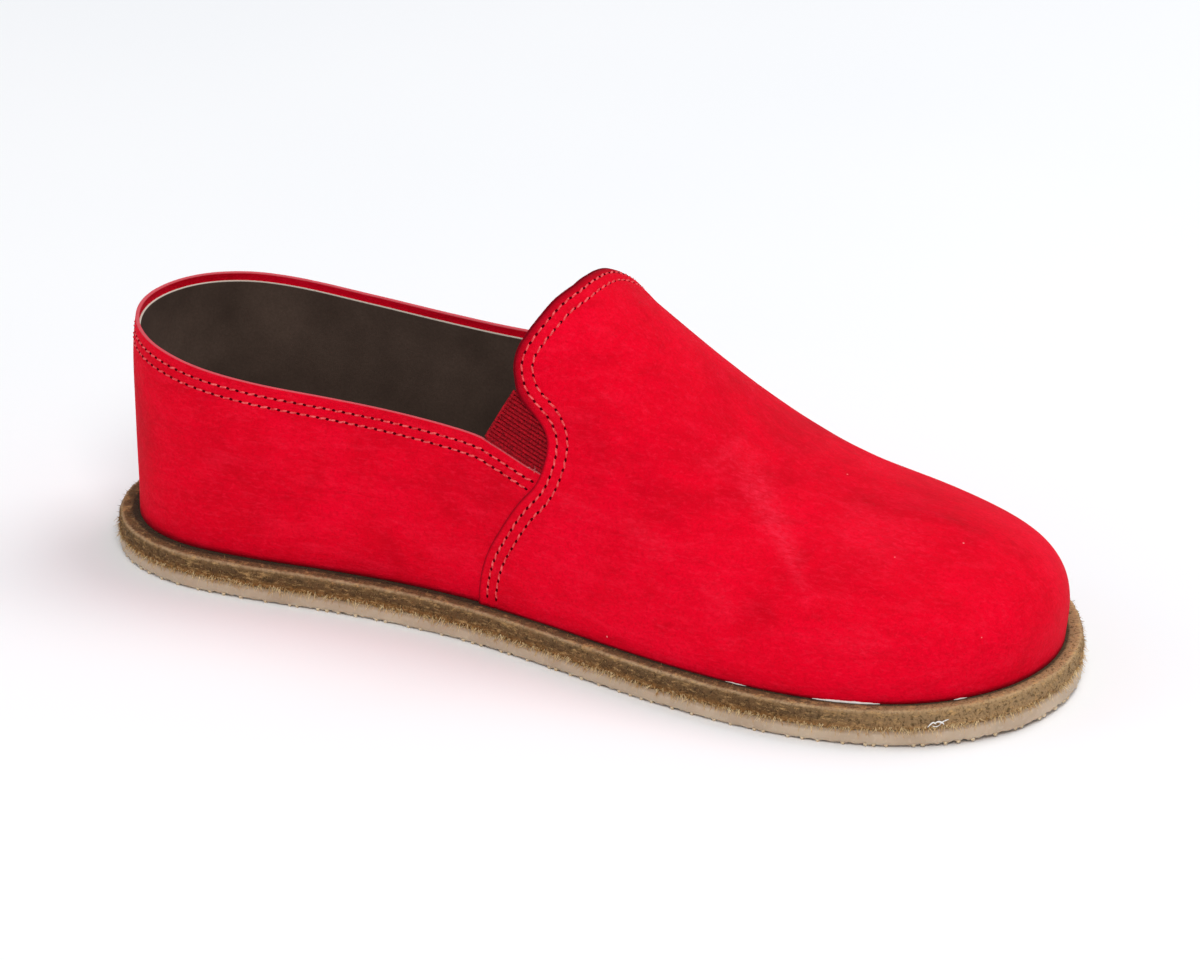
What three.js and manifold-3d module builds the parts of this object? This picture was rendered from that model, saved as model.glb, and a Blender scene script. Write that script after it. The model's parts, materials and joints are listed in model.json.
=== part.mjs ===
import * as THREE from 'three';
import Module from 'manifold-3d';
import { mergeVertices } from 'three/addons/utils/BufferGeometryUtils.js';

// Left slip-on shoe in soft leather. Millimetres, toe along +X, outer side +Y, up +Z.
// The whole form hangs on the feather line, the line where the upper meets the sole.

const FEATHER_LENGTH = 244;
const FLANGE = 4.2;
const STATIONS = 60;
const ROWS = 15;

const RUBBER = 3.8;
const BOND = 0.25;
const MIDSOLE = 4.8;
const CLEAR = 0.3;
const INSOLE = 2.2;
const VAMP_WALL = 2.4;
const LAP_STEP = 0.9;
const GORE_GAP = 0.4;
const GORE_INSET = 0.6;
const TOE_SPRING = 1.6;
const SPRING_START = 70;

const SOLE_TOP = RUBBER + BOND + MIDSOLE;
const UPPER_BASE = SOLE_TOP + CLEAR;

// Half widths of the feather line either side of the heel axis, by distance from the heel end.
const WIDTHS = [
  { at: 3, inner: 14.4, outer: 14.0 },
  { at: 8, inner: 22.6, outer: 21.8 },
  { at: 16, inner: 29.4, outer: 28.4 },
  { at: 28, inner: 33.6, outer: 33.0 },
  { at: 45, inner: 34.2, outer: 35.4 },
  { at: 65, inner: 32.8, outer: 36.6 },
  { at: 85, inner: 32.4, outer: 38.4 },
  { at: 105, inner: 34.2, outer: 41.2 },
  { at: 125, inner: 38.4, outer: 44.8 },
  { at: 145, inner: 43.6, outer: 48.2 },
  { at: 165, inner: 48.2, outer: 50.6 },
  { at: 180, inner: 50.4, outer: 50.8 },
  { at: 195, inner: 51.0, outer: 48.6 },
  { at: 208, inner: 49.4, outer: 43.8 },
  { at: 220, inner: 45.8, outer: 36.0 },
  { at: 230, inner: 39.6, outer: 26.0 },
  { at: 237, inner: 32.0, outer: 15.4 },
  { at: 241, inner: 24.8, outer: 6.4 },
];
const HEEL_TIP_Y = -0.4;
const TOE_TIP_Y = -9.4;

// Last sections: height of the roof line, its sideways place, how flat the arch is on top, how full
// it is on either side, and how far the wall swells past the feather line.
const LAST = [
  { x: -122, roof: 84, ridge: 0, flat: 4.2, inner: 4.4, outer: 4.4, swell: 2.4 },
  { x: -85, roof: 86, ridge: 0, flat: 3.2, inner: 3.4, outer: 3.4, swell: 2.2 },
  { x: -45, roof: 90, ridge: 1.0, flat: 2.3, inner: 2.4, outer: 2.3, swell: 1.6 },
  { x: -12, roof: 90, ridge: 0, flat: 2.5, inner: 1.85, outer: 1.84, swell: 1.4 },
  { x: 9, roof: 76.9, ridge: -1.5, flat: 2.0, inner: 1.7, outer: 1.7, swell: 1.4 },
  { x: 26, roof: 64.6, ridge: -2.5, flat: 2.0, inner: 1.75, outer: 1.53, swell: 1.6 },
  { x: 43, roof: 52.4, ridge: -3.5, flat: 2.0, inner: 1.85, outer: 1.6, swell: 2.0 },
  { x: 60, roof: 45, ridge: -5, flat: 2.0, inner: 2.0, outer: 1.65, swell: 2.4 },
  { x: 77, roof: 41.4, ridge: -7, flat: 2.1, inner: 2.2, outer: 1.8, swell: 2.8 },
  { x: 94, roof: 39.4, ridge: -8, flat: 2.2, inner: 2.4, outer: 2.1, swell: 3.2 },
  { x: 124, roof: 37.8, ridge: -9, flat: 2.4, inner: 2.9, outer: 2.7, swell: 3.6 },
];
const SPINE_SHARE = 0.72;

// Where the rear edge of the vamp crosses the ridge, then its side view down to the notch.
const THROAT_X = -1.15;
const WING_EDGE = [
  { x: -1.8, z: 84.1 },
  { x: -2.9, z: 83.3 },
  { x: -4.3, z: 81.9 },
  { x: -6.0, z: 79.2 },
  { x: -8.0, z: 75.8 },
  { x: -9.6, z: 72.4 },
  { x: -10.1, z: 69.5 },
  { x: -9.8, z: 66.8 },
  { x: -8.5, z: 63.6 },
  { x: -7.0, z: 61.3 },
  { x: -5.0, z: 59.4 },
  { x: -2.6, z: 57.6 },
  { x: -0.1, z: 55.4 },
  { x: 1.4, z: 53.0 },
  { x: 1.8, z: 50.5 },
  { x: 1.6, z: 47.9 },
  { x: 1.1, z: 45.6 },
];
// The outer wing is set a little further forward.
const OUTER_WING_EDGE = [
  { x: -0.8, z: 83.6 },
  { x: -0.5, z: 82.2 },
  { x: -0.3, z: 80.4 },
  { x: -0.2, z: 78.8 },
  { x: -0.9, z: 76.4 },
  { x: -2.6, z: 73.6 },
  { x: -4.6, z: 70.6 },
  { x: -6.0, z: 67.4 },
  { x: -6.3, z: 64.4 },
  { x: -5.5, z: 61.6 },
  { x: -3.4, z: 58.8 },
  { x: -0.7, z: 55.9 },
  { x: 1.2, z: 53.0 },
  { x: 1.8, z: 50.4 },
  { x: 1.6, z: 47.9 },
  { x: 1.1, z: 45.6 },
];
// Top edge of the quarter, from the notch back to the heel.
const QUARTER_EDGE = [
  { x: 0.2, z: 45.0 },
  { x: -3.5, z: 46.0 },
  { x: -8.3, z: 47.7 },
  { x: -13.1, z: 49.3 },
  { x: -20.0, z: 50.9 },
  { x: -45.0, z: 52.6 },
  { x: -80.0, z: 55.0 },
  { x: -108.0, z: 58.6 },
  { x: -126.0, z: 60.6 },
];
// Rear edge of the vamp below the scallop, where it laps over the quarter.
const LAP_EDGE = [
  { x: 0.7, z: 46.7 },
  { x: 0.7, z: 44.2 },
  { x: -0.9, z: 41.2 },
  { x: -3.7, z: 37.9 },
  { x: -6.4, z: 34.0 },
  { x: -9.3, z: 29.1 },
  { x: -12.3, z: 23.5 },
  { x: -14.15, z: 17.8 },
  { x: -15.0, z: 12.0 },
  { x: -15.4, z: 2.0 },
];
// Free edge of the elastic, from under the wing down to the quarter.
const GORE_FREE = [
  { x: -8.9, z: 62.0 },
  { x: -11.7, z: 56.9 },
  { x: -14.5, z: 51.6 },
];
const OUTER_GORE_FREE = [
  { x: -6.6, z: 61.8 },
  { x: -10.4, z: 56.8 },
  { x: -14.5, z: 51.6 },
];

const wasm = await Module();
wasm.setup();

// Smooth curve through rows of one column, natural at both ends.
function curveThrough(rows, key, value) {
  const n = rows.length;
  const slope = [];
  for (let i = 0; i < n; i += 1) {
    const a = rows[Math.max(i - 1, 0)];
    const b = rows[Math.min(i + 1, n - 1)];
    slope.push((b[value] - a[value]) / (b[key] - a[key]));
  }
  return (x) => {
    if (x <= rows[0][key]) return rows[0][value];
    if (x >= rows[n - 1][key]) return rows[n - 1][value];
    let i = 0;
    while (x > rows[i + 1][key]) i += 1;
    const h = rows[i + 1][key] - rows[i][key];
    const t = (x - rows[i][key]) / h;
    const keep = (1 + 2 * t) * (1 - t) * (1 - t);
    const next = t * t * (3 - 2 * t);
    const rise = t * (1 - t) * (1 - t) * h * slope[i] - t * t * (1 - t) * h * slope[i + 1];
    return keep * rows[i][value] + next * rows[i + 1][value] + rise;
  };
}

// The feather line as one round trip: the turn runs heel, inner side, toe, outer side, heel.
const turnOf = (at) => Math.acos(1 - (2 * at) / FEATHER_LENGTH);
const trip = [];
WIDTHS.forEach((row) => trip.push({ turn: turnOf(row.at), y: -row.inner }));
trip.push({ turn: Math.PI, y: TOE_TIP_Y });
[...WIDTHS].reverse().forEach((row) => {
  trip.push({ turn: 2 * Math.PI - turnOf(row.at), y: row.outer });
});
const lap = (row, turns) => ({ turn: row.turn + 2 * Math.PI * turns, y: row.y });
const heelRow = { turn: 0, y: HEEL_TIP_Y };
const loop = [
  ...trip.slice(-2).map((row) => lap(row, -1)),
  heelRow,
  ...trip,
  lap(heelRow, 1),
  ...trip.slice(0, 2).map((row) => lap(row, 1)),
];
const sideways = curveThrough(loop, 'turn', 'y');

function featherAt(turn) {
  return new THREE.Vector2((-FEATHER_LENGTH / 2) * Math.cos(turn), sideways(turn));
}

function outwardAt(turn) {
  const step = 0.01;
  const along = featherAt(turn + step).sub(featherAt(turn - step)).normalize();
  return new THREE.Vector2(along.y, -along.x);
}

// A point of the feather line pushed outward, or inward when the distance is negative.
function edgeAt(turn, push) {
  return featherAt(turn).addScaledVector(outwardAt(turn), push);
}

function spring(x) {
  const t = Math.max(0, x - SPRING_START) / (FEATHER_LENGTH / 2 + FLANGE - SPRING_START);
  return TOE_SPRING * t * t;
}

const innerTurn = (i) => (Math.PI * i) / STATIONS;
const outerTurn = (i) => 2 * Math.PI - innerTurn(i);

function meshOf(points, faces) {
  const geometry = new THREE.BufferGeometry();
  const flat = points.flatMap((p) => p.toArray());
  geometry.setAttribute('position', new THREE.Float32BufferAttribute(flat, 3));
  geometry.setIndex(faces.flat());
  return geometry;
}

// Flat plate following the feather line: each ring is a height and a push from that line.
function plate(rings) {
  const points = [];
  const faces = [];
  const around = 2 * STATIONS;
  rings.forEach((ring) => {
    for (let k = 0; k < around; k += 1) {
      const p = edgeAt((2 * Math.PI * k) / around, ring.push);
      points.push(new THREE.Vector3(p.x, p.y, ring.z + spring(p.x)));
    }
  });
  for (let r = 0; r + 1 < rings.length; r += 1) {
    for (let k = 0; k < around; k += 1) {
      const a = r * around + k;
      const b = r * around + ((k + 1) % around);
      faces.push([a, b, b + around], [a, b + around, a + around]);
    }
  }
  const top = (rings.length - 1) * around;
  for (let i = 0; i < STATIONS; i += 1) {
    const m = [i, i + 1, (around - i - 1) % around, (around - i) % around];
    if (m[1] !== m[2]) {
      faces.push([m[0], m[2], m[1]], [top + m[0], top + m[1], top + m[2]]);
    }
    if (m[0] !== m[3]) {
      faces.push([m[0], m[3], m[2]], [top + m[0], top + m[2], top + m[3]]);
    }
  }
  return meshOf(points, faces);
}

const roof = curveThrough(LAST, 'x', 'roof');
const ridge = curveThrough(LAST, 'x', 'ridge');
const flatness = curveThrough(LAST, 'x', 'flat');
const innerArch = curveThrough(LAST, 'x', 'inner');
const outerArch = curveThrough(LAST, 'x', 'outer');
const swell = curveThrough(LAST, 'x', 'swell');

// Outside of the last form: share runs from 0 on the feather line to 1 on the ridge.
function lastAt(turn, share) {
  const foot = featherAt(turn);
  const out = outwardAt(turn);
  const spineX = SPINE_SHARE * foot.x;
  const lift = (share * Math.PI) / 2;
  const near = foot.x + (spineX - foot.x) * share;
  const toOuter = THREE.MathUtils.smoothstep(turn, Math.PI - 0.3, Math.PI + 0.3);
  const arch = THREE.MathUtils.lerp(innerArch(near), outerArch(near), toOuter);
  const inward = 1 - Math.cos(lift) ** (2 / flatness(near));
  const up = Math.sin(lift) ** (2 / arch);
  const puff = swell(foot.x) * Math.sin(2 * lift) * Math.cos(lift);
  const x = foot.x + (spineX - foot.x) * inward + out.x * puff;
  const y = foot.y + (ridge(spineX) - foot.y) * inward + out.y * puff;
  const z = UPPER_BASE + (roof(x) - UPPER_BASE) * up;
  return new THREE.Vector3(x, y, z + spring(x));
}

// Closed solid of the last form, set in from the outside by a wall and dropped below by a tail.
function lastSolid(wall, tail) {
  const points = [];
  const faces = [];
  const index = new Map();
  const vertex = (side, i, r) => {
    const tip = i === 0 || i === STATIONS;
    const key = r === ROWS ? `s${i}` : `${tip ? 0 : side}_${i}_${r}`;
    if (!index.has(key)) {
      index.set(key, points.length);
      const turn = side === 0 ? innerTurn(i) : outerTurn(i);
      points.push(lastAt(turn, r / ROWS));
    }
    return index.get(key);
  };
  const add = (a, b, c) => {
    if (a !== b && b !== c && a !== c) faces.push([a, b, c]);
  };
  for (let i = 0; i < STATIONS; i += 1) {
    for (let r = 0; r < ROWS; r += 1) {
      const a = [vertex(0, i, r), vertex(0, i + 1, r), vertex(0, i + 1, r + 1), vertex(0, i, r + 1)];
      const b = [vertex(1, i, r), vertex(1, i + 1, r), vertex(1, i + 1, r + 1), vertex(1, i, r + 1)];
      add(a[0], a[1], a[2]);
      add(a[0], a[2], a[3]);
      add(b[0], b[2], b[1]);
      add(b[0], b[3], b[2]);
    }
  }
  const skin = meshOf(points, faces);
  skin.computeVertexNormals();
  const normals = skin.getAttribute('normal');
  const moved = points.map((p, k) => {
    const n = new THREE.Vector3().fromBufferAttribute(normals, k);
    return p.clone().addScaledVector(n, -wall);
  });
  for (let i = 0; i <= STATIONS; i += 1) {
    [0, 1].forEach((side) => {
      const turn = side === 0 ? innerTurn(i) : outerTurn(i);
      const foot = edgeAt(turn, -wall);
      moved[vertex(side, i, 0)].set(foot.x, foot.y, UPPER_BASE - tail + spring(foot.x));
    });
  }
  for (let i = 0; i < STATIONS; i += 1) {
    const m = [vertex(0, i, 0), vertex(0, i + 1, 0), vertex(1, i + 1, 0), vertex(1, i, 0)];
    add(m[0], m[2], m[1]);
    add(m[0], m[3], m[2]);
  }
  return solidOf(meshOf(moved, faces));
}

function solidOf(geometry) {
  const mesh = new wasm.Mesh({
    numProp: 3,
    vertProperties: new Float32Array(geometry.getAttribute('position').array),
    triVerts: new Uint32Array(geometry.getIndex().array),
  });
  return new wasm.Manifold(mesh);
}

// Smooth line through table rows, kept to its own ends.
function lineThrough(rows, steps) {
  const spline = new THREE.SplineCurve(rows.map((row) => new THREE.Vector2(row.x, row.z)));
  return spline.getPoints(steps);
}

// Side view outline carried straight across the shoe from one y to another.
function across(outline, from, to) {
  const shape = new THREE.Shape(outline);
  const body = new THREE.ExtrudeGeometry(shape, { depth: to - from, bevelEnabled: false });
  body.rotateX(Math.PI / 2);
  body.translate(0, to, 0);
  body.deleteAttribute('normal');
  body.deleteAttribute('uv');
  return solidOf(mergeVertices(body, 1e-4));
}

const wing = lineThrough(WING_EDGE, 36);
const outerWing = lineThrough(OUTER_WING_EDGE, 36);
const quarter = lineThrough(QUARTER_EDGE, 32);
const lapLine = lineThrough(LAP_EDGE, 20);

const far = 90;

// Place on the last form, as turn and share, that a side view point falls on.
function spotOn(outer, x, z) {
  const turnFor = (share) => {
    let low = 0;
    let high = Math.PI;
    for (let k = 0; k < 36; k += 1) {
      const mid = (low + high) / 2;
      const before = lastAt(outer ? 2 * Math.PI - mid : mid, share).x < x;
      low = before ? mid : low;
      high = before ? high : mid;
    }
    return outer ? 2 * Math.PI - low : low;
  };
  let low = 0;
  let high = 1;
  for (let k = 0; k < 36; k += 1) {
    const mid = (low + high) / 2;
    const under = lastAt(turnFor(mid), mid).z < z;
    low = under ? mid : low;
    high = under ? high : mid;
  }
  return { turn: turnFor(low), share: low };
}

function normalAt(spot) {
  const e = 1e-3;
  const ahead = lastAt(spot.turn + e, spot.share).sub(lastAt(spot.turn - e, spot.share));
  const high = Math.min(spot.share + e, 1);
  const up = lastAt(spot.turn, high).sub(lastAt(spot.turn, spot.share - e));
  return ahead.cross(up).normalize();
}

// Slab behind the rear edge of the vamp, its cut face square to the last form all along the edge.
function behindWings(deep, back) {
  const throat = Math.acos(-THROAT_X / SPINE_SHARE / (FEATHER_LENGTH / 2));
  const spots = [
    ...[...wing].reverse().map((p) => spotOn(false, p.x, p.y)),
    { turn: throat, share: 1 },
    ...outerWing.map((p) => spotOn(true, p.x, p.y)),
  ];
  const points = [];
  const faces = [];
  spots.forEach((spot, k) => {
    const p = lastAt(spot.turn, spot.share);
    const n = normalAt(spot).multiplyScalar(deep);
    const rear = new THREE.Vector3(-back, 0, 0);
    const out = p.clone().add(n);
    const inn = p.clone().sub(n);
    points.push(out, inn, inn.clone().add(rear), out.clone().add(rear));
    if (k > 0) {
      for (let c = 0; c < 4; c += 1) {
        const a = 4 * (k - 1) + c;
        const b = 4 * (k - 1) + ((c + 1) % 4);
        faces.push([a, b, b + 4], [a, b + 4, a + 4]);
      }
    }
  });
  const end = points.length - 4;
  faces.push([0, 2, 1], [0, 3, 2], [end, end + 1, end + 2], [end, end + 2, end + 3]);
  return solidOf(meshOf(points, faces));
}

// The mouth: everything above the quarter behind the wings, and all of it further back.
const rearOf = (x) => quarter.filter((p) => p.x < x);
const aboveQuarter = across([
  new THREE.Vector2(6, 43.2),
  ...quarter,
  new THREE.Vector2(-126, 150),
  new THREE.Vector2(6, 150),
], -far, far);
const mouth = across([
  ...rearOf(-13),
  new THREE.Vector2(-170, 61),
  new THREE.Vector2(-170, 150),
  new THREE.Vector2(rearOf(-13)[0].x, 150),
], -far, far);
const wingSlab = behindWings(9, 24);
const opening = wingSlab.intersect(aboveQuarter).add(mouth);

const behindLap = across([
  ...lapLine,
  new THREE.Vector2(-170, 0),
  new THREE.Vector2(-170, 90),
  new THREE.Vector2(-30, 90),
  new THREE.Vector2(-14, 56),
], -far, far);

const outside = lastSolid(0, 0);
const lapDepth = lastSolid(LAP_STEP, 1);
const inside = lastSolid(VAMP_WALL, 1);
const lapSkin = outside.subtract(lapDepth).intersect(behindLap);
const upperSolid = outside.subtract(inside).subtract(lapSkin).subtract(opening);

// Elastic: a thin sheet between the two leathers, clear of both edges.
function beside(line, gap) {
  return line.map((p, k) => {
    const before = line[Math.max(k - 1, 0)];
    const after = line[Math.min(k + 1, line.length - 1)];
    const along = after.clone().sub(before).normalize();
    return new THREE.Vector2(p.x + along.y * gap, p.y - along.x * gap);
  });
}
function goreOutline(freeRows) {
  return [
    new THREE.Vector2(6, freeRows[0].z - 0.2),
    new THREE.Vector2(6, 47),
    ...beside(quarter, GORE_GAP).filter((p) => p.x > freeRows.at(-1).x + 0.5 && p.x < -0.6),
    ...lineThrough(freeRows, 6).reverse(),
  ];
}
const elastic = lapDepth.subtract(inside).intersect(wingSlab.translate([-GORE_INSET, 0, 0]));
const goreInner = elastic.intersect(across(goreOutline(GORE_FREE), -far, 0));
const goreOuter = elastic.intersect(across(goreOutline(OUTER_GORE_FREE), 0, far));

const shoe = new THREE.Group();
shoe.name = 'slip_on_left';

function addPart(name, geometry, colour, roughness) {
  const material = new THREE.MeshStandardMaterial({ color: colour, roughness, metalness: 0 });
  const mesh = new THREE.Mesh(geometry, material);
  mesh.name = name;
  shoe.add(mesh);
}

function geometryOf(solid) {
  const mesh = solid.getMesh();
  const geometry = new THREE.BufferGeometry();
  geometry.setAttribute('position', new THREE.BufferAttribute(Float32Array.from(mesh.vertProperties), 3));
  geometry.setIndex(Array.from(mesh.triVerts));
  return geometry;
}

const welt = SOLE_TOP - MIDSOLE;
const footbed = SOLE_TOP + CLEAR;
const bedPush = -VAMP_WALL - 0.4;

addPart('outsole', plate([
  { z: 0, push: FLANGE - 0.7 },
  { z: 0.7, push: FLANGE },
  { z: RUBBER - 0.3, push: FLANGE },
  { z: RUBBER, push: FLANGE - 0.3 },
]), 0xc8ab8c, 0.45);
addPart('midsole', plate([
  { z: welt, push: FLANGE - 0.4 },
  { z: welt + 0.5, push: FLANGE },
  { z: SOLE_TOP - 0.6, push: FLANGE },
  { z: SOLE_TOP, push: FLANGE - 0.6 },
]), 0x8a6647, 0.9);
addPart('insole', plate([
  { z: footbed, push: bedPush },
  { z: footbed + INSOLE - 0.5, push: bedPush },
  { z: footbed + INSOLE, push: bedPush - 0.5 },
]), 0x8b7863, 0.85);
addPart('upper', geometryOf(upperSolid), 0xd7032a, 0.7);
addPart('gore_inner', geometryOf(goreInner), 0x6d0a16, 0.8);
addPart('gore_outer', geometryOf(goreOuter), 0x6d0a16, 0.8);

// Centre the sole on the origin across its width.
const box = new THREE.Box3().setFromObject(shoe);
const middle = box.getCenter(new THREE.Vector3());
shoe.position.set(-middle.x, -middle.y, -box.min.z);

export default shoe;
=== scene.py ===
import json
import math

import bmesh
import bpy
import numpy as np
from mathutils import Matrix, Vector

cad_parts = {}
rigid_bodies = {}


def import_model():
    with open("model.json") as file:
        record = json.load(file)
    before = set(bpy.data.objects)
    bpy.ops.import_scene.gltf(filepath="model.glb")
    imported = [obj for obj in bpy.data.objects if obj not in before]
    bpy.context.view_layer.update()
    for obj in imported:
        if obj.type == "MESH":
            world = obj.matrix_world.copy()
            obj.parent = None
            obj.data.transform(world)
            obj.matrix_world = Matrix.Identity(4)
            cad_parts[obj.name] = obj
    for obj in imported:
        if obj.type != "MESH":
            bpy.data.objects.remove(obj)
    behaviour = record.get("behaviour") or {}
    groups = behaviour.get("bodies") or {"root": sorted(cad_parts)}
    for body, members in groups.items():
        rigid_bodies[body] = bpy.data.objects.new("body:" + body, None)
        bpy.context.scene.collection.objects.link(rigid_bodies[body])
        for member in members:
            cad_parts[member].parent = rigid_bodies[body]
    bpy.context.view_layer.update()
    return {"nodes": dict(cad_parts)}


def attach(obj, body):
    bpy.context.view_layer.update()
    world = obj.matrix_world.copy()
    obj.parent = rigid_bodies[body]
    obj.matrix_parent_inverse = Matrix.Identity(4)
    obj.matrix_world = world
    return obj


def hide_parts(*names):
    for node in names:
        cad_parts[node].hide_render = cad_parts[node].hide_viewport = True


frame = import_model()
print("frame loaded:", sorted(frame["nodes"]))

scene = bpy.context.scene
scene.view_settings.view_transform = "Standard"
mm = 0.001
fullTurn = 2 * math.pi


def putAimed(thing, place, aim):
    scene.collection.objects.link(thing)
    thing.location = place
    thing.rotation_mode = "QUATERNION"
    thing.rotation_quaternion = (Vector(aim) - Vector(place)).to_track_quat("-Z", "Y")


# camera at the photograph's angle to the shoe
shot = {
    "place": (545.35, -1185.05, 581.45), "aim": (2.0, -2.0, 31.5), "lens": 176.0, "sensor": 36.0,
    "near": 0.05,
}
camData = bpy.data.cameras.new("shotCamera")
camData.sensor_width = shot["sensor"]
camData.lens = shot["lens"]
camData.clip_start = shot["near"]
camera = bpy.data.objects.new("shotCamera", camData)
putAimed(camera, Vector(shot["place"]) * mm, Vector(shot["aim"]) * mm)
scene.camera = camera
print("camera set")


# sizes of the last, in millimetres, toe along +X and the outer side +Y
last = {
    "length": 244.0, "flange": 4.2, "rubber": 3.8, "bond": 0.25, "midsole": 4.8, "clear": 0.3,
    "insole": 2.2, "spring": 1.6, "springStart": 70.0, "spineShare": 0.72, "heelTipY": -0.4, "toeTipY": -9.4,
    # distance from the heel end, half width on the inner side, on the outer side
    "widths": [
        (3, 14.4, 14.0), (8, 22.6, 21.8), (16, 29.4, 28.4), (28, 33.6, 33.0), (45, 34.2, 35.4),
        (65, 32.8, 36.6), (85, 32.4, 38.4), (105, 34.2, 41.2), (125, 38.4, 44.8), (145, 43.6, 48.2),
        (165, 48.2, 50.6), (180, 50.4, 50.8), (195, 51.0, 48.6), (208, 49.4, 43.8), (220, 45.8, 36.0),
        (230, 39.6, 26.0), (237, 32.0, 15.4), (241, 24.8, 6.4)],
    # x, roof, ridge, flatness, inner fullness, outer fullness, swell
    "sections": [
        (-122, 84, 0, 4.2, 4.4, 4.4, 2.4), (-85, 86, 0, 3.2, 3.4, 3.4, 2.2),
        (-45, 90, 1, 2.3, 2.4, 2.3, 1.6), (-12, 90, 0, 2.5, 1.85, 1.84, 1.4),
        (9, 77.4, -1.5, 2.0, 1.7, 1.7, 1.4), (26, 64.6, -2.5, 2.0, 1.75, 1.53, 1.6),
        (43, 52.4, -3.5, 2.0, 1.85, 1.6, 2.0), (60, 45, -5, 2.0, 2.0, 1.65, 2.4),
        (77, 41.4, -7, 2.1, 2.2, 1.8, 2.8), (94, 39.4, -8, 2.2, 2.4, 2.1, 3.2),
        (124, 37.8, -9, 2.4, 2.9, 2.7, 3.6)],
}
soleTop = last["rubber"] + last["bond"] + last["midsole"]
upperBase = soleTop + last["clear"]
halfLength = last["length"] / 2
leastShare = 0.004  # the surface has no clear slope below this share
footFade = (12, 20)  # heights between which waves in the leather set in
farOff = 99.0


def curveThrough(keys, values):
    keys = np.array(keys, float)
    values = np.array(values, float)
    n = len(keys)
    below = np.maximum(np.arange(n) - 1, 0)
    above = np.minimum(np.arange(n) + 1, n - 1)
    slope = (values[above] - values[below]) / (keys[above] - keys[below])

    def at(x):
        x = np.clip(np.asarray(x, float), keys[0], keys[-1])
        i = np.clip(np.searchsorted(keys, x, side="right") - 1, 0, n - 2)
        h = keys[i + 1] - keys[i]
        t = (x - keys[i]) / h
        stay = (1 + 2 * t) * (1 - t) ** 2
        go = t * t * (3 - 2 * t)
        rise = t * (1 - t) ** 2 * h * slope[i] - t * t * (1 - t) * h * slope[i + 1]
        return stay * values[i] + go * values[i + 1] + rise
    return at


def smooth(x, low, high):
    t = np.clip((np.asarray(x, float) - low) / (high - low), 0, 1)
    return t * t * (3 - 2 * t)


# the feather line as one round trip: heel, inner side, toe, outer side
turns = [math.acos(1 - 2 * row[0] / last["length"]) for row in last["widths"]]
trip = [(t, -row[1]) for t, row in zip(turns, last["widths"])]
trip.append((math.pi, last["toeTipY"]))
trip += [(fullTurn - t, row[2]) for t, row in reversed(list(zip(turns, last["widths"])))]
loop = [(t - fullTurn, y) for t, y in trip[-2:]] + [(0.0, last["heelTipY"])] + trip
loop += [(fullTurn, last["heelTipY"])] + [(t + fullTurn, y) for t, y in trip[:2]]
sideways = curveThrough([p[0] for p in loop], [p[1] for p in loop])

column = list(zip(*last["sections"]))
roof, ridge, flatness, innerFull, outerFull, swell = [
    curveThrough(column[0], column[k]) for k in range(1, 7)]


# a turn counted from the heel along the inner side, or the same along the outer side
def sided(turn, outer):
    return fullTurn - turn if outer else turn


def featherXY(turn):
    return -halfLength * np.cos(turn), sideways(turn)


def outwardXY(turn):
    xa, ya = featherXY(turn - 0.01)
    xb, yb = featherXY(turn + 0.01)
    size = np.hypot(xb - xa, yb - ya)
    return (yb - ya) / size, -(xb - xa) / size


def springAt(x):
    t = np.maximum(0, x - last["springStart"]) / (halfLength + last["flange"] - last["springStart"])
    return last["spring"] * t * t


def edgePoint(turn, push):
    x, y = featherXY(turn)
    ox, oy = outwardXY(turn)
    return x + ox * push, y + oy * push


ringTurns = np.linspace(0, fullTurn, 721)
flangeY = edgePoint(ringTurns, last["flange"])[1]
shiftY = -0.5 * (flangeY.max() + flangeY.min())


# points of a line round the sole, pushed out from the feather line
def roundLine(turn, push, height):
    x, y = edgePoint(turn, push)
    return np.stack([x, y + shiftY, height + springAt(x)], -1)


# outside of the last: share is 0 on the feather line and 1 on the ridge
def lastPoint(turn, share):
    turn = np.asarray(turn, float)
    x0, y0 = featherXY(turn)
    ox, oy = outwardXY(turn)
    spineX = last["spineShare"] * x0
    lift = share * math.pi / 2
    near = x0 + (spineX - x0) * share
    toOuter = smooth(turn, math.pi - 0.3, math.pi + 0.3)
    full = innerFull(near) * (1 - toOuter) + outerFull(near) * toOuter
    inward = 1 - np.maximum(np.cos(lift), 0) ** (2 / flatness(near))
    up = np.maximum(np.sin(lift), 0) ** (2 / full)
    puff = swell(x0) * np.sin(2 * lift) * np.cos(lift)
    x = x0 + (spineX - x0) * inward + ox * puff
    y = y0 + (ridge(spineX) - y0) * inward + oy * puff
    z = upperBase + (roof(x) - upperBase) * up + springAt(x)
    return np.stack([x, y + shiftY, z], -1)


def unit(v):
    return v / np.maximum(np.linalg.norm(v, axis=-1, keepdims=True), 1e-12)


def slopesAt(turn, share):
    e = 1e-4
    share = np.clip(share, leastShare, 1)
    alongTurn = (lastPoint(turn + e, share) - lastPoint(turn - e, share)) / (2 * e)
    low = np.clip(share - e, 0, 1)
    high = np.clip(share + e, 0, 1)
    alongShare = (lastPoint(turn, high) - lastPoint(turn, low)) / (high - low)[..., None]
    return alongTurn, alongShare


def normalAt(turn, share):
    return unit(np.cross(*slopesAt(turn, share)))


# halving search: the value up to which the test holds, at each place of an array
def lastHolding(test, like, high):
    low, high = np.zeros_like(like), np.full_like(like, high)
    for _ in range(40):
        mid = (low + high) / 2
        holds = test(mid)
        low, high = np.where(holds, mid, low), np.where(holds, high, mid)
    return (low + high) / 2


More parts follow.
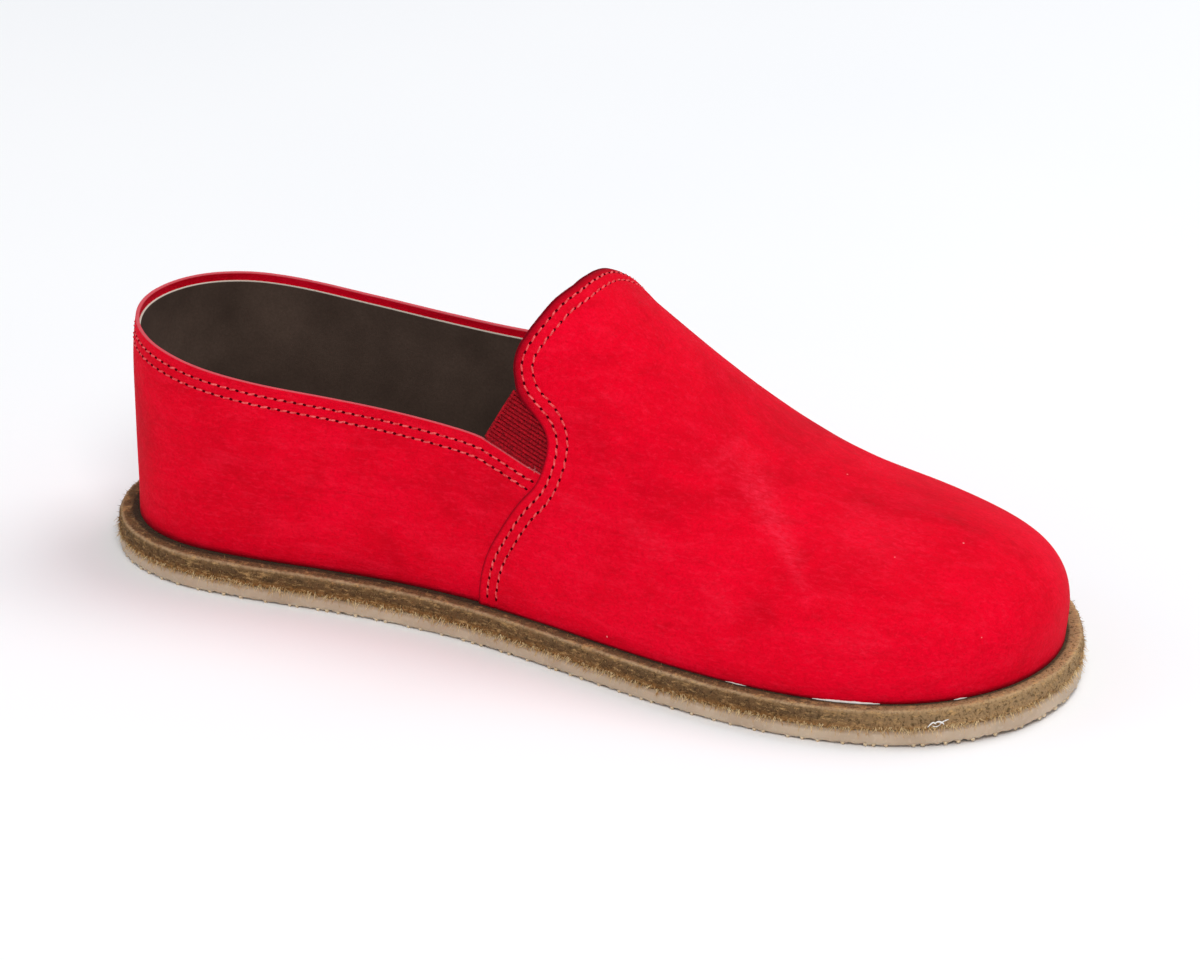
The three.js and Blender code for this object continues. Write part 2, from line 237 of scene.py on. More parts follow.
# place on the last that a side view point x, z falls on
def spotOn(outer, x, z):
    x = np.asarray(x, float)

    def turnFor(share):
        return sided(lastHolding(lambda t: lastPoint(sided(t, outer), share)[..., 0] < x, x, math.pi), outer)

    share = lastHolding(lambda s: lastPoint(turnFor(s), s)[..., 2] < z, x, 1.0)
    return turnFor(share), share


# smooth line through rows of x, z
def splineThrough(rows, steps):
    p = np.array(rows, float)
    n = len(p)
    t = np.linspace(0, n - 1, steps + 1)
    i = np.minimum(t.astype(int), n - 2)
    w = (t - i)[:, None]
    a, b = p[np.maximum(i - 1, 0)], p[i]
    c, d = p[i + 1], p[np.minimum(i + 2, n - 1)]
    va, vb = (c - a) / 2, (d - b) / 2
    return (2 * b - 2 * c + va + vb) * w ** 3 + (-3 * b + 3 * c - 2 * va - vb) * w ** 2 + va * w + b


def lengthAlong(points):
    return np.concatenate([[0], np.cumsum(np.linalg.norm(np.diff(points, axis=0), axis=1))])


def pickAlong(at, run, values):
    return np.stack([np.interp(at, run, part) for part in values.T], -1)


# plain mesh piece from millimetre points, with optional point attributes
def meshPiece(name, points, faces, material, fields=None, edges=(), weld=True):
    mesh = bpy.data.meshes.new(name)
    mesh.from_pydata((np.asarray(points) * mm).tolist(), list(edges), faces)
    for key, values in (fields or {}).items():
        values = np.asarray(values, float)
        kind = "FLOAT_VECTOR" if values.ndim == 2 else "FLOAT"
        layer = mesh.attributes.new(key, kind, "POINT")
        layer.data.foreach_set("vector" if values.ndim == 2 else "value", values.ravel())
    if weld:
        bm = bmesh.new()
        bm.from_mesh(mesh)
        bmesh.ops.remove_doubles(bm, verts=bm.verts, dist=0.012 * mm)
        bmesh.ops.dissolve_degenerate(bm, edges=bm.edges, dist=0.002 * mm)
        bmesh.ops.recalc_face_normals(bm, faces=bm.faces)
        loose = sum(1 for e in bm.edges if len(e.link_faces) != 2)
        if loose:
            print("  open edges on", name, loose)
        bm.to_mesh(mesh)
        bm.free()
    if faces:
        mesh.polygons.foreach_set("use_smooth", [True] * len(mesh.polygons))
    if material:
        mesh.materials.append(material)
    mesh.update()
    piece = bpy.data.objects.new(name, mesh)
    scene.collection.objects.link(piece)
    return piece


def gridFaces(rows, columns, start=0, closed=False):
    faces = []
    for r in range(rows - 1):
        a = start + r * columns
        for c in range(columns if closed else columns - 1):
            d = (c + 1) % columns
            faces.append((a + c, a + d, a + columns + d, a + columns + c))
    return faces


# faces between two lines of point numbers
def bridge(a, b):
    return [(a[k + 1], a[k], b[k], b[k + 1]) for k in range(len(a) - 1)]


# several skins gathered into one mesh
class Gather:
    def __init__(self):
        self.points, self.faces, self.fields, self.count = [], [], {}, 0

    def add(self, skin, faces, **fields):
        self.faces += [tuple(self.count + k for k in face) for face in faces]
        self.points.append(skin.reshape(-1, 3))
        self.count += len(self.points[-1])
        for key, values in fields.items():
            self.fields.setdefault(key, []).append(values.ravel())

    def piece(self, name, material):
        fields = {key: np.concatenate(parts) for key, parts in self.fields.items()}
        return meshPiece(name, np.concatenate(self.points), self.faces, material, fields)


def keep(piece, slot, *nodes):
    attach(piece, "root")
    if nodes:
        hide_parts(*nodes)
    return piece


# nodes by plain calls, inputs by their names without blanks
class Nodes:
    def feed(self, socket, value):
        if isinstance(value, bpy.types.NodeSocket):
            self.tree.links.new(value, socket)
        else:
            socket.default_value = value

    def add(self, kind, settings=None, **inputs):
        node = self.tree.nodes.new(kind)
        for key, value in (settings or {}).items():
            setattr(node, key, value)
        for key, value in inputs.items():
            self.feed([s for s in node.inputs if s.enabled and s.name.replace(" ", "") == key][0], value)
        return node

    # a node's first output
    def make(self, kind, settings=None, **inputs):
        return [s for s in self.add(kind, settings, **inputs).outputs if s.enabled][0]

    # the same from values in the order of the inputs
    def work(self, kind, settings, *values):
        node = self.add(kind, settings)
        for socket, value in zip([s for s in node.inputs if s.enabled], values):
            self.feed(socket, value)
        return [s for s in node.outputs if s.enabled][0]

    def times(self, a, b):
        return self.work("ShaderNodeMath", {"operation": "MULTIPLY"}, a, b)


def rgb(r, g, b):
    def lin(v):
        v /= 255
        return v / 12.92 if v <= 0.04045 else ((v + 0.055) / 1.055) ** 2.4
    return (lin(r), lin(g), lin(b), 1.0)


class Finish(Nodes):
    def __init__(self, name):
        self.mat = bpy.data.materials.new(name)
        self.mat.use_nodes = True
        self.tree = self.mat.node_tree
        self.shader = self.tree.nodes["Principled BSDF"]
        self.coords = self.add("ShaderNodeTexCoord").outputs["Object"]

    # sockets of the shader, by name
    def put(self, values):
        for key, value in values.items():
            self.feed(self.shader.inputs[key], value)

    def look(self, colour, roughness, specular):
        self.put({"Base Color": colour, "Roughness": roughness, "Specular IOR Level": specular})

    def sheen(self, weight, roughness, tint):
        self.put({"Sheen Weight": weight, "Sheen Roughness": roughness, "Sheen Tint": tint})

    def mapped(self, scale, turn=(0, 0, 0)):
        return self.make("ShaderNodeMapping", Vector=self.coords, Scale=scale, Rotation=turn)

    def noise(self, scale, detail=3.0, rough=0.5, vector=None, twist=0.0):
        return self.make("ShaderNodeTexNoise", Vector=vector or self.coords, Scale=scale, Detail=detail,
                         Roughness=rough, Distortion=twist)

    def ramp(self, value, stops):
        node = self.add("ShaderNodeValToRGB", Fac=value)
        while len(node.color_ramp.elements) < len(stops):
            node.color_ramp.elements.new(0.5)
        for element, (place, colour) in zip(node.color_ramp.elements, stops):
            element.position = place
            element.color = colour
        return node.outputs["Color"]

    def spread(self, value, low, high, outLow, outHigh):
        return self.make("ShaderNodeMapRange", Value=value, FromMin=low, FromMax=high,
                         ToMin=outLow, ToMax=outHigh)

    def math(self, kind, *values):
        return self.work("ShaderNodeMath", {"operation": kind}, *values)

    def mix(self, amount, a, b):
        return self.work("ShaderNodeMix", {"data_type": "RGBA"}, amount, a, b)

    # colours laid over a base where a value is spread: value, spread, colour
    def layers(self, base, *rows):
        for value, spread, colour in rows:
            base = self.mix(self.spread(value, *spread), base, colour)
        return base

    def field(self, name):
        return self.add("ShaderNodeAttribute", {"attribute_name": name}).outputs["Fac"]

    # bumps laid over one another: height, strength, distance
    def bumps(self, *rows):
        before = {}
        for height, strength, distance in rows:
            before["Normal"] = self.make("ShaderNodeBump", Height=height, Strength=strength,
                                         Distance=distance, **before)
        self.put(before)


def makeNubuck():
    f = Finish("redNubuck")
    deep, lit = rgb(196, 0, 24), rgb(240, 1, 41)
    cloud = f.noise(30, 5, 0.62, twist=0.5)
    patch = f.noise(170, 4, 0.62)
    nap = f.noise(1300, 4, 0.65)
    streak = f.noise(1, 4, 0.7, f.mapped((400, 1000, 1250), (0.15, 0.5, 0.1)), 0.9)
    brush = f.noise(1, 3, 0.6, f.mapped((70, 170, 300), (0.2, 0.55, 0.15)), 0.7)
    base = f.ramp(cloud, [(0.3, deep), (0.5, rgb(226, 0, 32)), (0.72, lit)])
    base = f.layers(
        base, (patch, (0.38, 0.75, 0.0, 0.4), lit), (brush, (0.28, 0.46, 0.45, 0.0), deep),
        (brush, (0.54, 0.76, 0.0, 0.3), rgb(250, 30, 62)), (nap, (0.46, 0.7, 0.0, 0.5), deep),
        (streak, (0.5, 0.74, 0.0, 0.34), rgb(252, 36, 68)))
    worn = f.times(f.field("crease"), f.spread(streak, 0.32, 0.66, 0.05, 0.8))
    base = f.mix(worn, base, rgb(246, 50, 78))
    # pale specks in some of the cells
    speck = f.add("ShaderNodeTexVoronoi", Vector=f.coords, Scale=105)
    near = f.spread(speck.outputs["Distance"], 0.016, 0.03, 1.0, 0.0)
    chosen = f.math("GREATER_THAN", f.math("FRACT", f.times(speck.outputs["Color"], 7.13)), 0.55)
    base = f.mix(f.times(f.times(near, chosen), 0.7), base, rgb(255, 150, 150))
    # painted shade from the edge attribute: the rolled rim, its turned nose and the zone behind the wing's
    # belly
    base = f.mix(f.field("edge"), base, rgb(96, 0, 13))
    base = f.mix(f.field("cut"), base, rgb(206, 92, 100))
    f.look(base, f.spread(patch, 0.3, 0.7, 0.78, 0.92), 0.05)
    f.sheen(0.06, 0.4, (1.0, 0.16, 0.24, 1.0))
    f.bumps((nap, 0.42, 0.0004), (streak, 0.3, 0.0005), (f.noise(420, 4, 0.6), 0.14, 0.0005))
    return f.mat


def makeLining():
    f = Finish("taupeLining")
    fine = f.noise(1400, 4, 0.6)
    base = f.ramp(f.noise(60, 3), [(0.3, rgb(74, 59, 51)), (0.7, rgb(98, 80, 70))])
    base = f.layers(base, (fine, (0.35, 0.7, 0.0, 0.3), rgb(56, 45, 37)))
    f.look(f.mix(f.field("cut"), base, rgb(206, 196, 182)), 0.85, 0.15)
    f.bumps((fine, 0.2, 0.0002))
    return f.mat


def makeGum(name, dull, dark, light):
    f = Finish(name)
    cloud = f.noise(70, 4, 0.6)
    dust = f.noise(900, 3, 0.7)
    base = f.ramp(cloud, [(0.3, dark), (0.7, light)])
    base = f.mix(f.field("under"), base, rgb(213, 173, 134))
    patchy = f.spread(f.noise(26, 3, 0.6), 0.38, 0.62, 0.1, 1.0)
    base = f.mix(f.times(f.field("glow"), patchy), base, rgb(242, 184, 140))
    base = f.mix(f.field("shade"), base, rgb(150, 120, 92))
    base = f.layers(base, (dust, (0.55, 0.8, 0.0, 0.45), rgb(222, 206, 186)))
    f.look(base, f.spread(cloud, 0.3, 0.7, dull, dull + 0.16), 0.4)
    f.put({"Subsurface Weight": 0.3, "Subsurface Radius": (0.004, 0.0025, 0.0015), "Subsurface Scale": 1.0})
    f.bumps((dust, 0.14, 0.0003))
    return f.mat


def makeSuede():
    f = Finish("brownSuede")
    cloud = f.noise(110, 4, 0.65)
    streak = f.noise(1, 4, 0.72, f.mapped((380, 380, 1500)))
    grit = f.noise(1150, 4, 0.7)
    # the pale stop at level 1 paints a highlight along the top corner of the edge
    base = f.ramp(f.field("level"), [
        (0.0, rgb(176, 124, 66)), (0.2, rgb(138, 95, 50)), (0.45, rgb(92, 65, 39)), (0.74, rgb(104, 78, 52)),
        (0.88, rgb(122, 94, 64)), (1.0, rgb(196, 163, 126))])
    base = f.layers(base, (cloud, (0.42, 0.68, 0.0, 0.5), rgb(140, 102, 64)))
    base = f.mix(f.times(f.field("toe"), 0.6), base, rgb(200, 166, 122))
    base = f.layers(base, (streak, (0.52, 0.68, 0.0, 0.7), rgb(214, 170, 112)))
    belowTop = f.spread(f.field("level"), 0.75, 0.95, 1.0, 0.45)
    base = f.mix(f.times(f.spread(grit, 0.5, 0.64, 0.0, 0.8), belowTop), base, rgb(62, 44, 25))
    base = f.mix(f.times(f.field("shade"), 0.9), base, rgb(40, 25, 16))
    f.look(base, 0.95, 0.15)
    f.sheen(0.08, 0.5, (0.9, 0.72, 0.5, 1.0))
    f.bumps((grit, 0.8, 0.0007), (streak, 0.5, 0.0008), (cloud, 0.3, 0.0012))
    return f.mat


# one noise between two colours
def makePlain(name, grain, dark, light, roughness, specular, *bump):
    f = Finish(name)
    noise = f.noise(*grain)
    f.look(f.ramp(noise, [dark, light]), roughness, specular)
    if bump:
        f.bumps((noise, *bump))
    return f.mat


redNubuck, taupeLining, brownSuede = makeNubuck(), makeLining(), makeSuede()
gumRubber = makeGum("gumRubber", 0.46, rgb(178, 154, 130), rgb(200, 178, 154))
studRubber = makeGum("studRubber", 0.2, rgb(212, 178, 140), rgb(230, 200, 164))
plainFinishes = [
    # name, noise, dark stop, light stop, roughness, specular, bump
    ("redThread", (900, 4, 0.7), (0.36, rgb(206, 8, 30)), (0.67, rgb(251, 110, 112)), 0.55, 0.2, 0.3, 0.0001),
    # needle holes: dark red, painted shade of the pits
    ("needleHoleShade", (900, 2), (0.3, rgb(56, 0, 7)), (0.7, rgb(98, 1, 14)), 0.95, 0.02),
    ("darkElastic", (2400, 2), (0.3, rgb(96, 0, 11)), (0.7, rgb(186, 2, 27)), 0.75, 0.15, 0.4, 0.0002),
    ("suedeFibre", (700, 2), (0.35, rgb(80, 54, 30)), (0.65, rgb(200, 156, 102)), 0.85, 0.2),
    ("goldFibre", (700, 2), (0.35, rgb(188, 140, 80)), (0.65, rgb(250, 224, 174)), 0.85, 0.2),
    ("dryGlue", (500, 3), (0.3, rgb(226, 218, 208)), (0.7, rgb(246, 243, 240)), 0.35, 0.5),
    ("paleFray", (900, 2), (0.35, rgb(206, 84, 92)), (0.65, rgb(240, 176, 174)), 0.9, 0.5),
    ("paleFloor", (3, 2), (0.3, rgb(247, 248, 250)), (0.7, rgb(251, 251, 252)), 0.9, 0.1)]
plain = {row[0]: makePlain(*row) for row in plainFinishes}
print("finishes ready")


# vamp: one sheet from the throat over the toe, its rear edge turned in along the wing
vamp = {
    "throatX": -1.15,  # where the rear edge crosses the ridge
    "wing": [
        (-1.8, 84.1), (-2.9, 83.3), (-4.3, 81.9), (-6.0, 79.2), (-8.0, 75.8), (-9.6, 72.4),
        (-10.1, 69.5), (-9.8, 66.8), (-8.5, 63.6), (-7.0, 61.3), (-5.0, 59.4), (-2.6, 57.6),
        (-0.1, 55.4), (1.4, 53.0), (1.8, 50.5), (1.6, 47.9)],
    "outerWing": [
        (-0.8, 83.6), (-0.5, 82.2), (-0.3, 80.4), (-0.2, 78.8), (-0.9, 76.4), (-2.6, 73.6),
        (-4.6, 70.6), (-6.0, 67.4), (-6.3, 64.4), (-5.5, 61.6), (-3.4, 58.8), (-0.7, 55.9),
        (1.2, 53.0), (1.8, 50.4), (1.6, 47.9)],
    "lap": [
        (0.7, 44.2), (-0.9, 41.2), (-3.7, 37.9), (-6.4, 34.0), (-9.3, 29.1), (-12.3, 23.5),
        (-14.15, 17.8), (-15.0, 12.0), (-15.4, 2.0)],
    "along": 120, "columns": 116, "sheet": 0.9, "touch": 0.28,
    # the turned edge: depth, band, height where it starts and is full, rows of band share and rise
    "turnedDepth": 2.4, "turnedBand": 3.6, "turnedAt": (61.5, 66.0), "leastHem": 0.04,
    "nose": (0.4, 0.8, 1.2, 1.5708),
    "turnedRows": [
        (0.3, 0), (0.6, 0), (0.9, 0), (0.98, 0.14), (1, 0.4), (0.97, 0.7), (0.4, 0.8), (0, 0.9)],
    "roll": 0.85, "rollStart": (-0.2, 0.4), "rollReach": 4.2, "mostUnder": 0.3,
    # painted shade: darker at the rim, on the turned edge's nose and behind the wing's belly, where the
    # rolled edge turns away from the light
    "rimDark": 0.75, "rimReach": (0.1, 1.0), "bellyDark": 0.62, "bellyReach": (0.6, 3.6),
    "bellyAt": (54.0, 61.0), "mostDark": 0.9, "noseDark": 0.85, "noseRows": 5,
    "rows": (2.6, 5.2), "seamDip": 0.16, "seamWide": 0.55,
    "welt": (0.1, 3.9, 0.8),  # soft ridge between the stitch rows: height, reach, width
    # where the folds fade out: at the ridge, at the edge, at the toe
    "ridgeFade": (1, 9), "edgeFade": (6, 12), "toeFade": (96, 112),
    "lining": 0.55, "liningDeep": 0.95, "liningStep": 0.97, "liningRow": 5, "liningRaw": 1.3,
    "liningBeyond": (2.5, 12),  # distance ahead of the quarter's front end
    # soft folds: outer side or not, x, z of the line, height, width, paleness of the worn nap
    "creases": [
        (0, [(42, 51.5), (49.5, 46.5), (54.8, 43), (61.1, 39.2), (67, 35.4), (71.5, 31.5)], 0.2, 2.0, 0.75),
        (0, [(39, 49.4), (41.6, 51.4), (43.5, 53)], 0.1, 2.0, 0.35),
        (0, [(24, 39.5), (31.9, 35.9), (39, 33.4)], 0.18, 3.2, 0.3),
        (0, [(47, 29.6), (52, 27.4), (57, 25.4)], 0.18, 3.4, 0.25),
        (0, [(70, 41.5), (80.9, 39), (92, 37.3)], 0.1, 3.6, 0.25),
        (0, [(2, 42), (9, 40), (16, 38.5)], 0.16, 3.0, 0.2),
        (0, [(78, 22), (88, 23), (96, 22)], 0.14, 4.6, 0.2),
        (1, [(30, 50), (40, 44), (50, 36)], 0.22, 2.6, 0.6),
        (1, [(14, 40), (22, 35), (30, 32)], 0.2, 3.2, 0.4),
        (1, [(46, 30), (56, 27), (66, 25)], 0.2, 3.8, 0.3)],
}
edgeSteps = [0, .15, .35, .6, .9, 1.25, 1.65, 2.1, 2.6, 3.1, 3.6, 4.15, 4.7, 5.2, 5.7, 6.3, 7.0, 7.8, 8.8]
underFrom = 7  # first row of the sheet's underside, clear of the rounded edge

# the rear edge in side view, throat to foot, on the inner and on the outer side
edgeLines = [splineThrough(vamp[wing] + vamp["lap"], 900) for wing in ("wing", "outerWing")]


# the wing's x at a height
def edgeX(outer, z):
    line = edgeLines[outer][::-1]
    return np.interp(z, line[:, 1], line[:, 0])


# the same edge on one side of the last, foot to ridge
def edgeSpots(outer):
    x, z = edgeLines[outer].T
    foot = np.nonzero(z > upperBase + springAt(x))[0][-1]
    turn, share = spotOn(outer, x[:foot], z[:foot])
    topTurn = sided(math.acos(-vamp["throatX"] / last["spineShare"] / halfLength), outer)
    footTurn = sided(math.acos(-x[foot] / halfLength), outer)
    turn = np.concatenate([[topTurn], turn, [footTurn]])[::-1]
    share = np.concatenate([[1.0], share, [0.0]])[::-1]
    run = lengthAlong(lastPoint(turn, share))
    even = np.linspace(0, run[-1], vamp["along"])
    return np.interp(even, run, turn), np.interp(even, run, share)


# one step over the last away from an edge line
def stepIn(turn, share, far, way):
    tangent = unit(np.gradient(lastPoint(turn, share), axis=0))
    w = unit(way * np.cross(tangent, normalAt(turn, share))) * far
    a, b = slopesAt(turn, share)
    aa, ab, bb = (a * a).sum(-1), (a * b).sum(-1), (b * b).sum(-1)
    aw, bw = (a * w).sum(-1), (b * w).sum(-1)
    det = aa * bb - ab * ab
    turn = turn + (aw * bb - bw * ab) / det
    share = np.clip(share + (bw * aa - aw * ab) / det, 0, 1)
    share[0], share[-1] = 0.0, 1.0
    return turn, share


# evens a row out so that its columns do not cross ahead of a tight bend
def eased(row):
    for _ in range(3):
        row = np.concatenate([row[:1], 0.25 * row[:-2] + 0.5 * row[1:-1] + 0.25 * row[2:], row[-1:]])
    return row


def vampGrid(outer):
    turn, share = edgeSpots(outer)
    way = -1 if outer else 1
    rowsTurn, rowsShare = [turn], [share]
    for a, b in zip(edgeSteps[:-1], edgeSteps[1:]):
        for _ in range(3):
            turn, share = stepIn(turn, share, (b - a) / 3, way)
            if b > vamp["rows"][1]:
                turn, share = eased(turn), eased(share)
        rowsTurn.append(turn)
        rowsShare.append(share)
    even = np.linspace(0, 1, vamp["along"])
    for j in range(1, vamp["columns"] + 1):
        g = j / vamp["columns"]
        ease = smooth(g, 0, 1)
        rowsTurn.append(turn + (math.pi - turn) * (0.72 * g + 0.28 * g * g))
        rowsShare.append(share * (1 - ease) + even * ease)
    return np.array(rowsTurn), np.array(rowsShare)


# both halves of the vamp over the last, with one ridge line in common
def vampHalves():
    grids = [vampGrid(False), vampGrid(True)]
    crest = (grids[0][0][:, -1] + fullTurn - grids[1][0][:, -1]) / 2
    for outer, (turn, share) in enumerate(grids):
        turn[:, -1] = sided(crest, outer)
    (inner, innerUp), (outer, outerUp) = [(lastPoint(*grid), normalAt(*grid)) for grid in grids]
    outer[:, -1] = inner[:, -1]
    innerUp[:, -1] = outerUp[:, -1] = unit(innerUp[:, -1] + outerUp[:, -1])
    return [(inner, innerUp), (outer, outerUp)]


def lineDistance(x, z, line):
    best = np.full(x.shape, 1e9)
    fade = np.zeros(x.shape)
    steps = 24
    for k, (px, pz) in enumerate(splineThrough(line, steps)):
        far = np.hypot(x - px, z - pz)
        closer = far < best
        best = np.where(closer, far, best)
        fade = np.where(closer, math.sin(math.pi * (0.06 + 0.88 * k / steps)), fade)
    return best, fade


# slight waves and the folds of one side: lift and paleness
def softLeather(place, outer):
    x, y, z = place[..., 0], place[..., 1], place[..., 2]
    lift = 0.1 * np.sin(x / 9.0 + z / 7.0) * np.sin(z / 11.0 - x / 23.0 + 1.2)
    lift += 0.08 * np.sin(x / 17.0 - y / 9.0) * np.cos(z / 6.0 + x / 31.0)
    lift *= smooth(z, *footFade)
    worn = np.zeros(x.shape)
    for side, line, height, width, pale in vamp["creases"]:
        if side == outer:
            far, fade = lineDistance(x, z, line)
            t = far / width
            lift += height * fade * (np.exp(-t * t) - 0.6 * np.exp(-(t - 1.7) ** 2 * 1.6))
            worn += pale * fade * np.exp(-(1.5 * t) ** 2)
    return lift, np.clip(worn, 0, 1)


# distance of each row of a sheet from its open edge
def reachOf(steps, rows):
    return np.array(steps + [farOff] * (rows - len(steps)))[:, None]


def furrows(reach, rows, wide):
    return sum(np.exp(-((reach - d) / wide) ** 2) for d in rows)


# how far a round edge of radius r falls away
def roundDrop(reach, r):
    return np.where(reach < r, r - np.sqrt(np.maximum(r * r - (r - reach) ** 2, 0)), 0)


# faces that close one column of a folded sheet; extra rows lie in its fold, the first rows are left out
def foldEnd(rows, wide, at, extra=0, skip=0):
    over = [(rows - 1 - k) * wide + at for k in range(skip, rows)]
    under = [(rows + extra + k) * wide + at for k in range(rows - skip)]
    return bridge(under, over)


def hemOf(place):
    return smooth(place[0, :, 2], *vamp["turnedAt"])


# rows of the turned edge: its round nose, the folded band and the raw end under it
def turnedRows(place, normal, hem, thick):
    steps = np.array(edgeSteps)
    every = np.arange(vamp["along"])
    r, band = thick / 2, vamp["turnedBand"] * hem

    def inside(far, deep):
        far = np.clip(far, 0, steps[-1])
        k = np.clip(np.searchsorted(steps, far, side="right") - 1, 0, len(steps) - 2)
        t = ((far - steps[k]) / (steps[k + 1] - steps[k]))[:, None]
        p = place[k, every] * (1 - t) + place[k + 1, every] * t
        n = unit(normal[k, every] * (1 - t) + normal[k + 1, every] * t)
        return p - n * deep[:, None]

    rows = [inside(r - r * math.cos(a), r + r * math.sin(a)) for a in vamp["nose"]]
    rows += [inside(r + band * share, thick - rise * hem) for share, rise in vamp["turnedRows"]]
    return np.array(rows)


def buildVamp(halves):
    whole = Gather()
    stitchRows = [[], []]
    wide = vamp["along"]
    weltHigh, weltAt, weltWide = vamp["welt"]
    for outer, (place, normal) in enumerate(halves):
        rows = place.shape[0]
        reach = reachOf(edgeSteps, rows)
        lift, worn = softLeather(place, outer)
        toRidge = place[..., 1] - ridge(place[..., 0])
        fade = smooth(toRidge if outer else -toRidge, *vamp["ridgeFade"])
        fade = fade * smooth(reach, *vamp["edgeFade"]) * (1 - smooth(place[..., 0], *vamp["toeFade"]))
        lift = lift * fade - vamp["seamDip"] * furrows(reach, vamp["rows"], vamp["seamWide"])
        lift = lift + weltHigh * np.exp(-((reach - weltAt) / weltWide) ** 2)
        hem = hemOf(place)
        hem = np.where(hem < vamp["leastHem"], 0, hem)
        thick = vamp["sheet"] + (vamp["turnedDepth"] - vamp["sheet"]) * hem
        roll = (1 - smooth(reach, 0, vamp["rollReach"])) ** 2 * smooth(reach, *vamp["rollStart"])
        drop = roundDrop(reach, thick / 2) + vamp["roll"] * hem * roll
        outside = place + normal * (lift - drop)[..., None]
        underside = place - normal * (vamp["sheet"] - np.minimum(lift, vamp["mostUnder"]))[..., None]
        turned = turnedRows(place, normal, hem, thick)
        skin = np.concatenate([outside[::-1], turned, underside[underFrom:]])
        skin[:, 0, 2] -= vamp["touch"]
        # the foot of the sheet is closed where it stands on the midsole
        faces = gridFaces(skin.shape[0], wide) + foldEnd(rows, wide, 0, len(turned), underFrom)
        faces.append(tuple(k * wide for k in range(rows - 1 - underFrom, rows + len(turned) + 1)))
        crease, dark = np.zeros(skin.shape[:2]), np.zeros(skin.shape[:2])
        crease[:rows] = (worn * fade)[::-1]
        # painted shade on the rim, behind the wing's belly and on the turned edge's nose, kept in the edge
        # attribute
        rim = vamp["rimDark"] * (1 - smooth(reach, *vamp["rimReach"]))
        belly = vamp["bellyDark"] * (1 - smooth(reach, *vamp["bellyReach"]))
        belly = belly * smooth(place[0, :, 2], *vamp["bellyAt"])
        dark[:rows] = np.minimum(rim + belly, vamp["mostDark"])[::-1]
        dark[rows:rows + vamp["noseRows"]] = vamp["noseDark"]
        whole.add(skin, faces, crease=crease, edge=dark)
        for line, d in zip(stitchRows, vamp["rows"]):
            k = edgeSteps.index(d)
            line.append((outside[k], normal[k]))
    return whole.piece("vamp", redNubuck), stitchRows


vampSpots = vampHalves()
vampPiece, vampStitches = buildVamp(vampSpots)
keep(vampPiece, "upper_leather", "upper")
print("vamp:", len(vampPiece.data.polygons), "faces")


# quarter: one sheet round the heel, lapped under the vamp, its top edge left as cut
quarter = {
    "edge": [
        (14.0, 40.6), (6.0, 43.1), (0.2, 45.0), (-3.5, 46.0), (-8.3, 47.7), (-13.1, 49.3), (-20.0, 50.9),
        (-45.0, 52.6), (-80.0, 55.0), (-108.0, 58.6), (-126.0, 60.6)],
    "front": 8.0, "columns": 130, "lower": 34, "under": 0.95, "sheet": 0.95, "round": 0.2, "raw": 0.25,
    "rows": (2.8, 5.3), "seamDip": 0.15, "seamWide": 0.5, "paleness": 0.85,
    "wave": 0.14, "waveFrom": (5, 12), "waveFade": (-24, -14),
    "lining": 0.55, "liningDrop": 2.1, "liningFront": -9.0, "liningGap": 0.02,
}
topLine = splineThrough(quarter["edge"], 400)[::-1]
rimSteps = [0, .12, .3, .6, 1.0, 1.4, 1.9, 2.35, 2.8, 3.25, 3.8, 4.3, 4.8, 5.3, 5.8, 6.4, 7.2]


# points and normals of one side, rim to foot
def quarterGrid(outer, front, drop=0.0):
    turn = sided(np.linspace(0, math.acos(-front / halfLength), quarter["columns"]), outer)

    def under(share):
        p = lastPoint(turn, share)
        return p[:, 2] < np.interp(p[:, 0], topLine[:, 0], topLine[:, 1]) - drop

    fine = np.linspace(1, 0, 240)
    shares = []
    for way, top in zip(turn, lastHolding(under, turn, 1.0)):
        run = lengthAlong(lastPoint(np.full_like(fine, way), top * fine))
        want = np.concatenate([rimSteps, np.linspace(rimSteps[-1], run[-1], quarter["lower"] + 1)[1:]])
        shares.append(np.interp(want, run, top * fine))
    shares = np.array(shares).T
    shares[-1] = 0
    turn = np.repeat(turn[None], shares.shape[0], 0)
    return lastPoint(turn, shares), normalAt(turn, shares)


# marks the rows next to the open edge of a folded sheet
def rawRows(reach, limit, wide):
    near = np.concatenate([(reach < limit)[::-1], reach < limit])
    return near * np.ones(wide)


# closed thin sheet under the last from sides of points, normals and lift
def thinSheet(name, sides, depth, thick, material, paleness):
    whole = Gather()
    for place, normal, lift in sides:
        rows, wide = place.shape[:2]
        reach = reachOf(rimSteps, rows)
        drop = roundDrop(reach, quarter["round"])
        outside = place - normal * (depth + drop - lift)[..., None]
        inside = place - normal * (depth + thick - drop)[..., None]
        skin = np.concatenate([outside[::-1], inside])
        skin[[0, -1], :, 2] -= vamp["touch"]
        foot = (2 * rows - 1) * wide
        faces = gridFaces(2 * rows, wide) + foldEnd(rows, wide, wide - 1)
        faces += bridge(range(wide), range(foot, foot + wide))
        whole.add(skin, faces, cut=paleness * rawRows(reach, quarter["raw"], wide))
    return whole.piece(name, material)


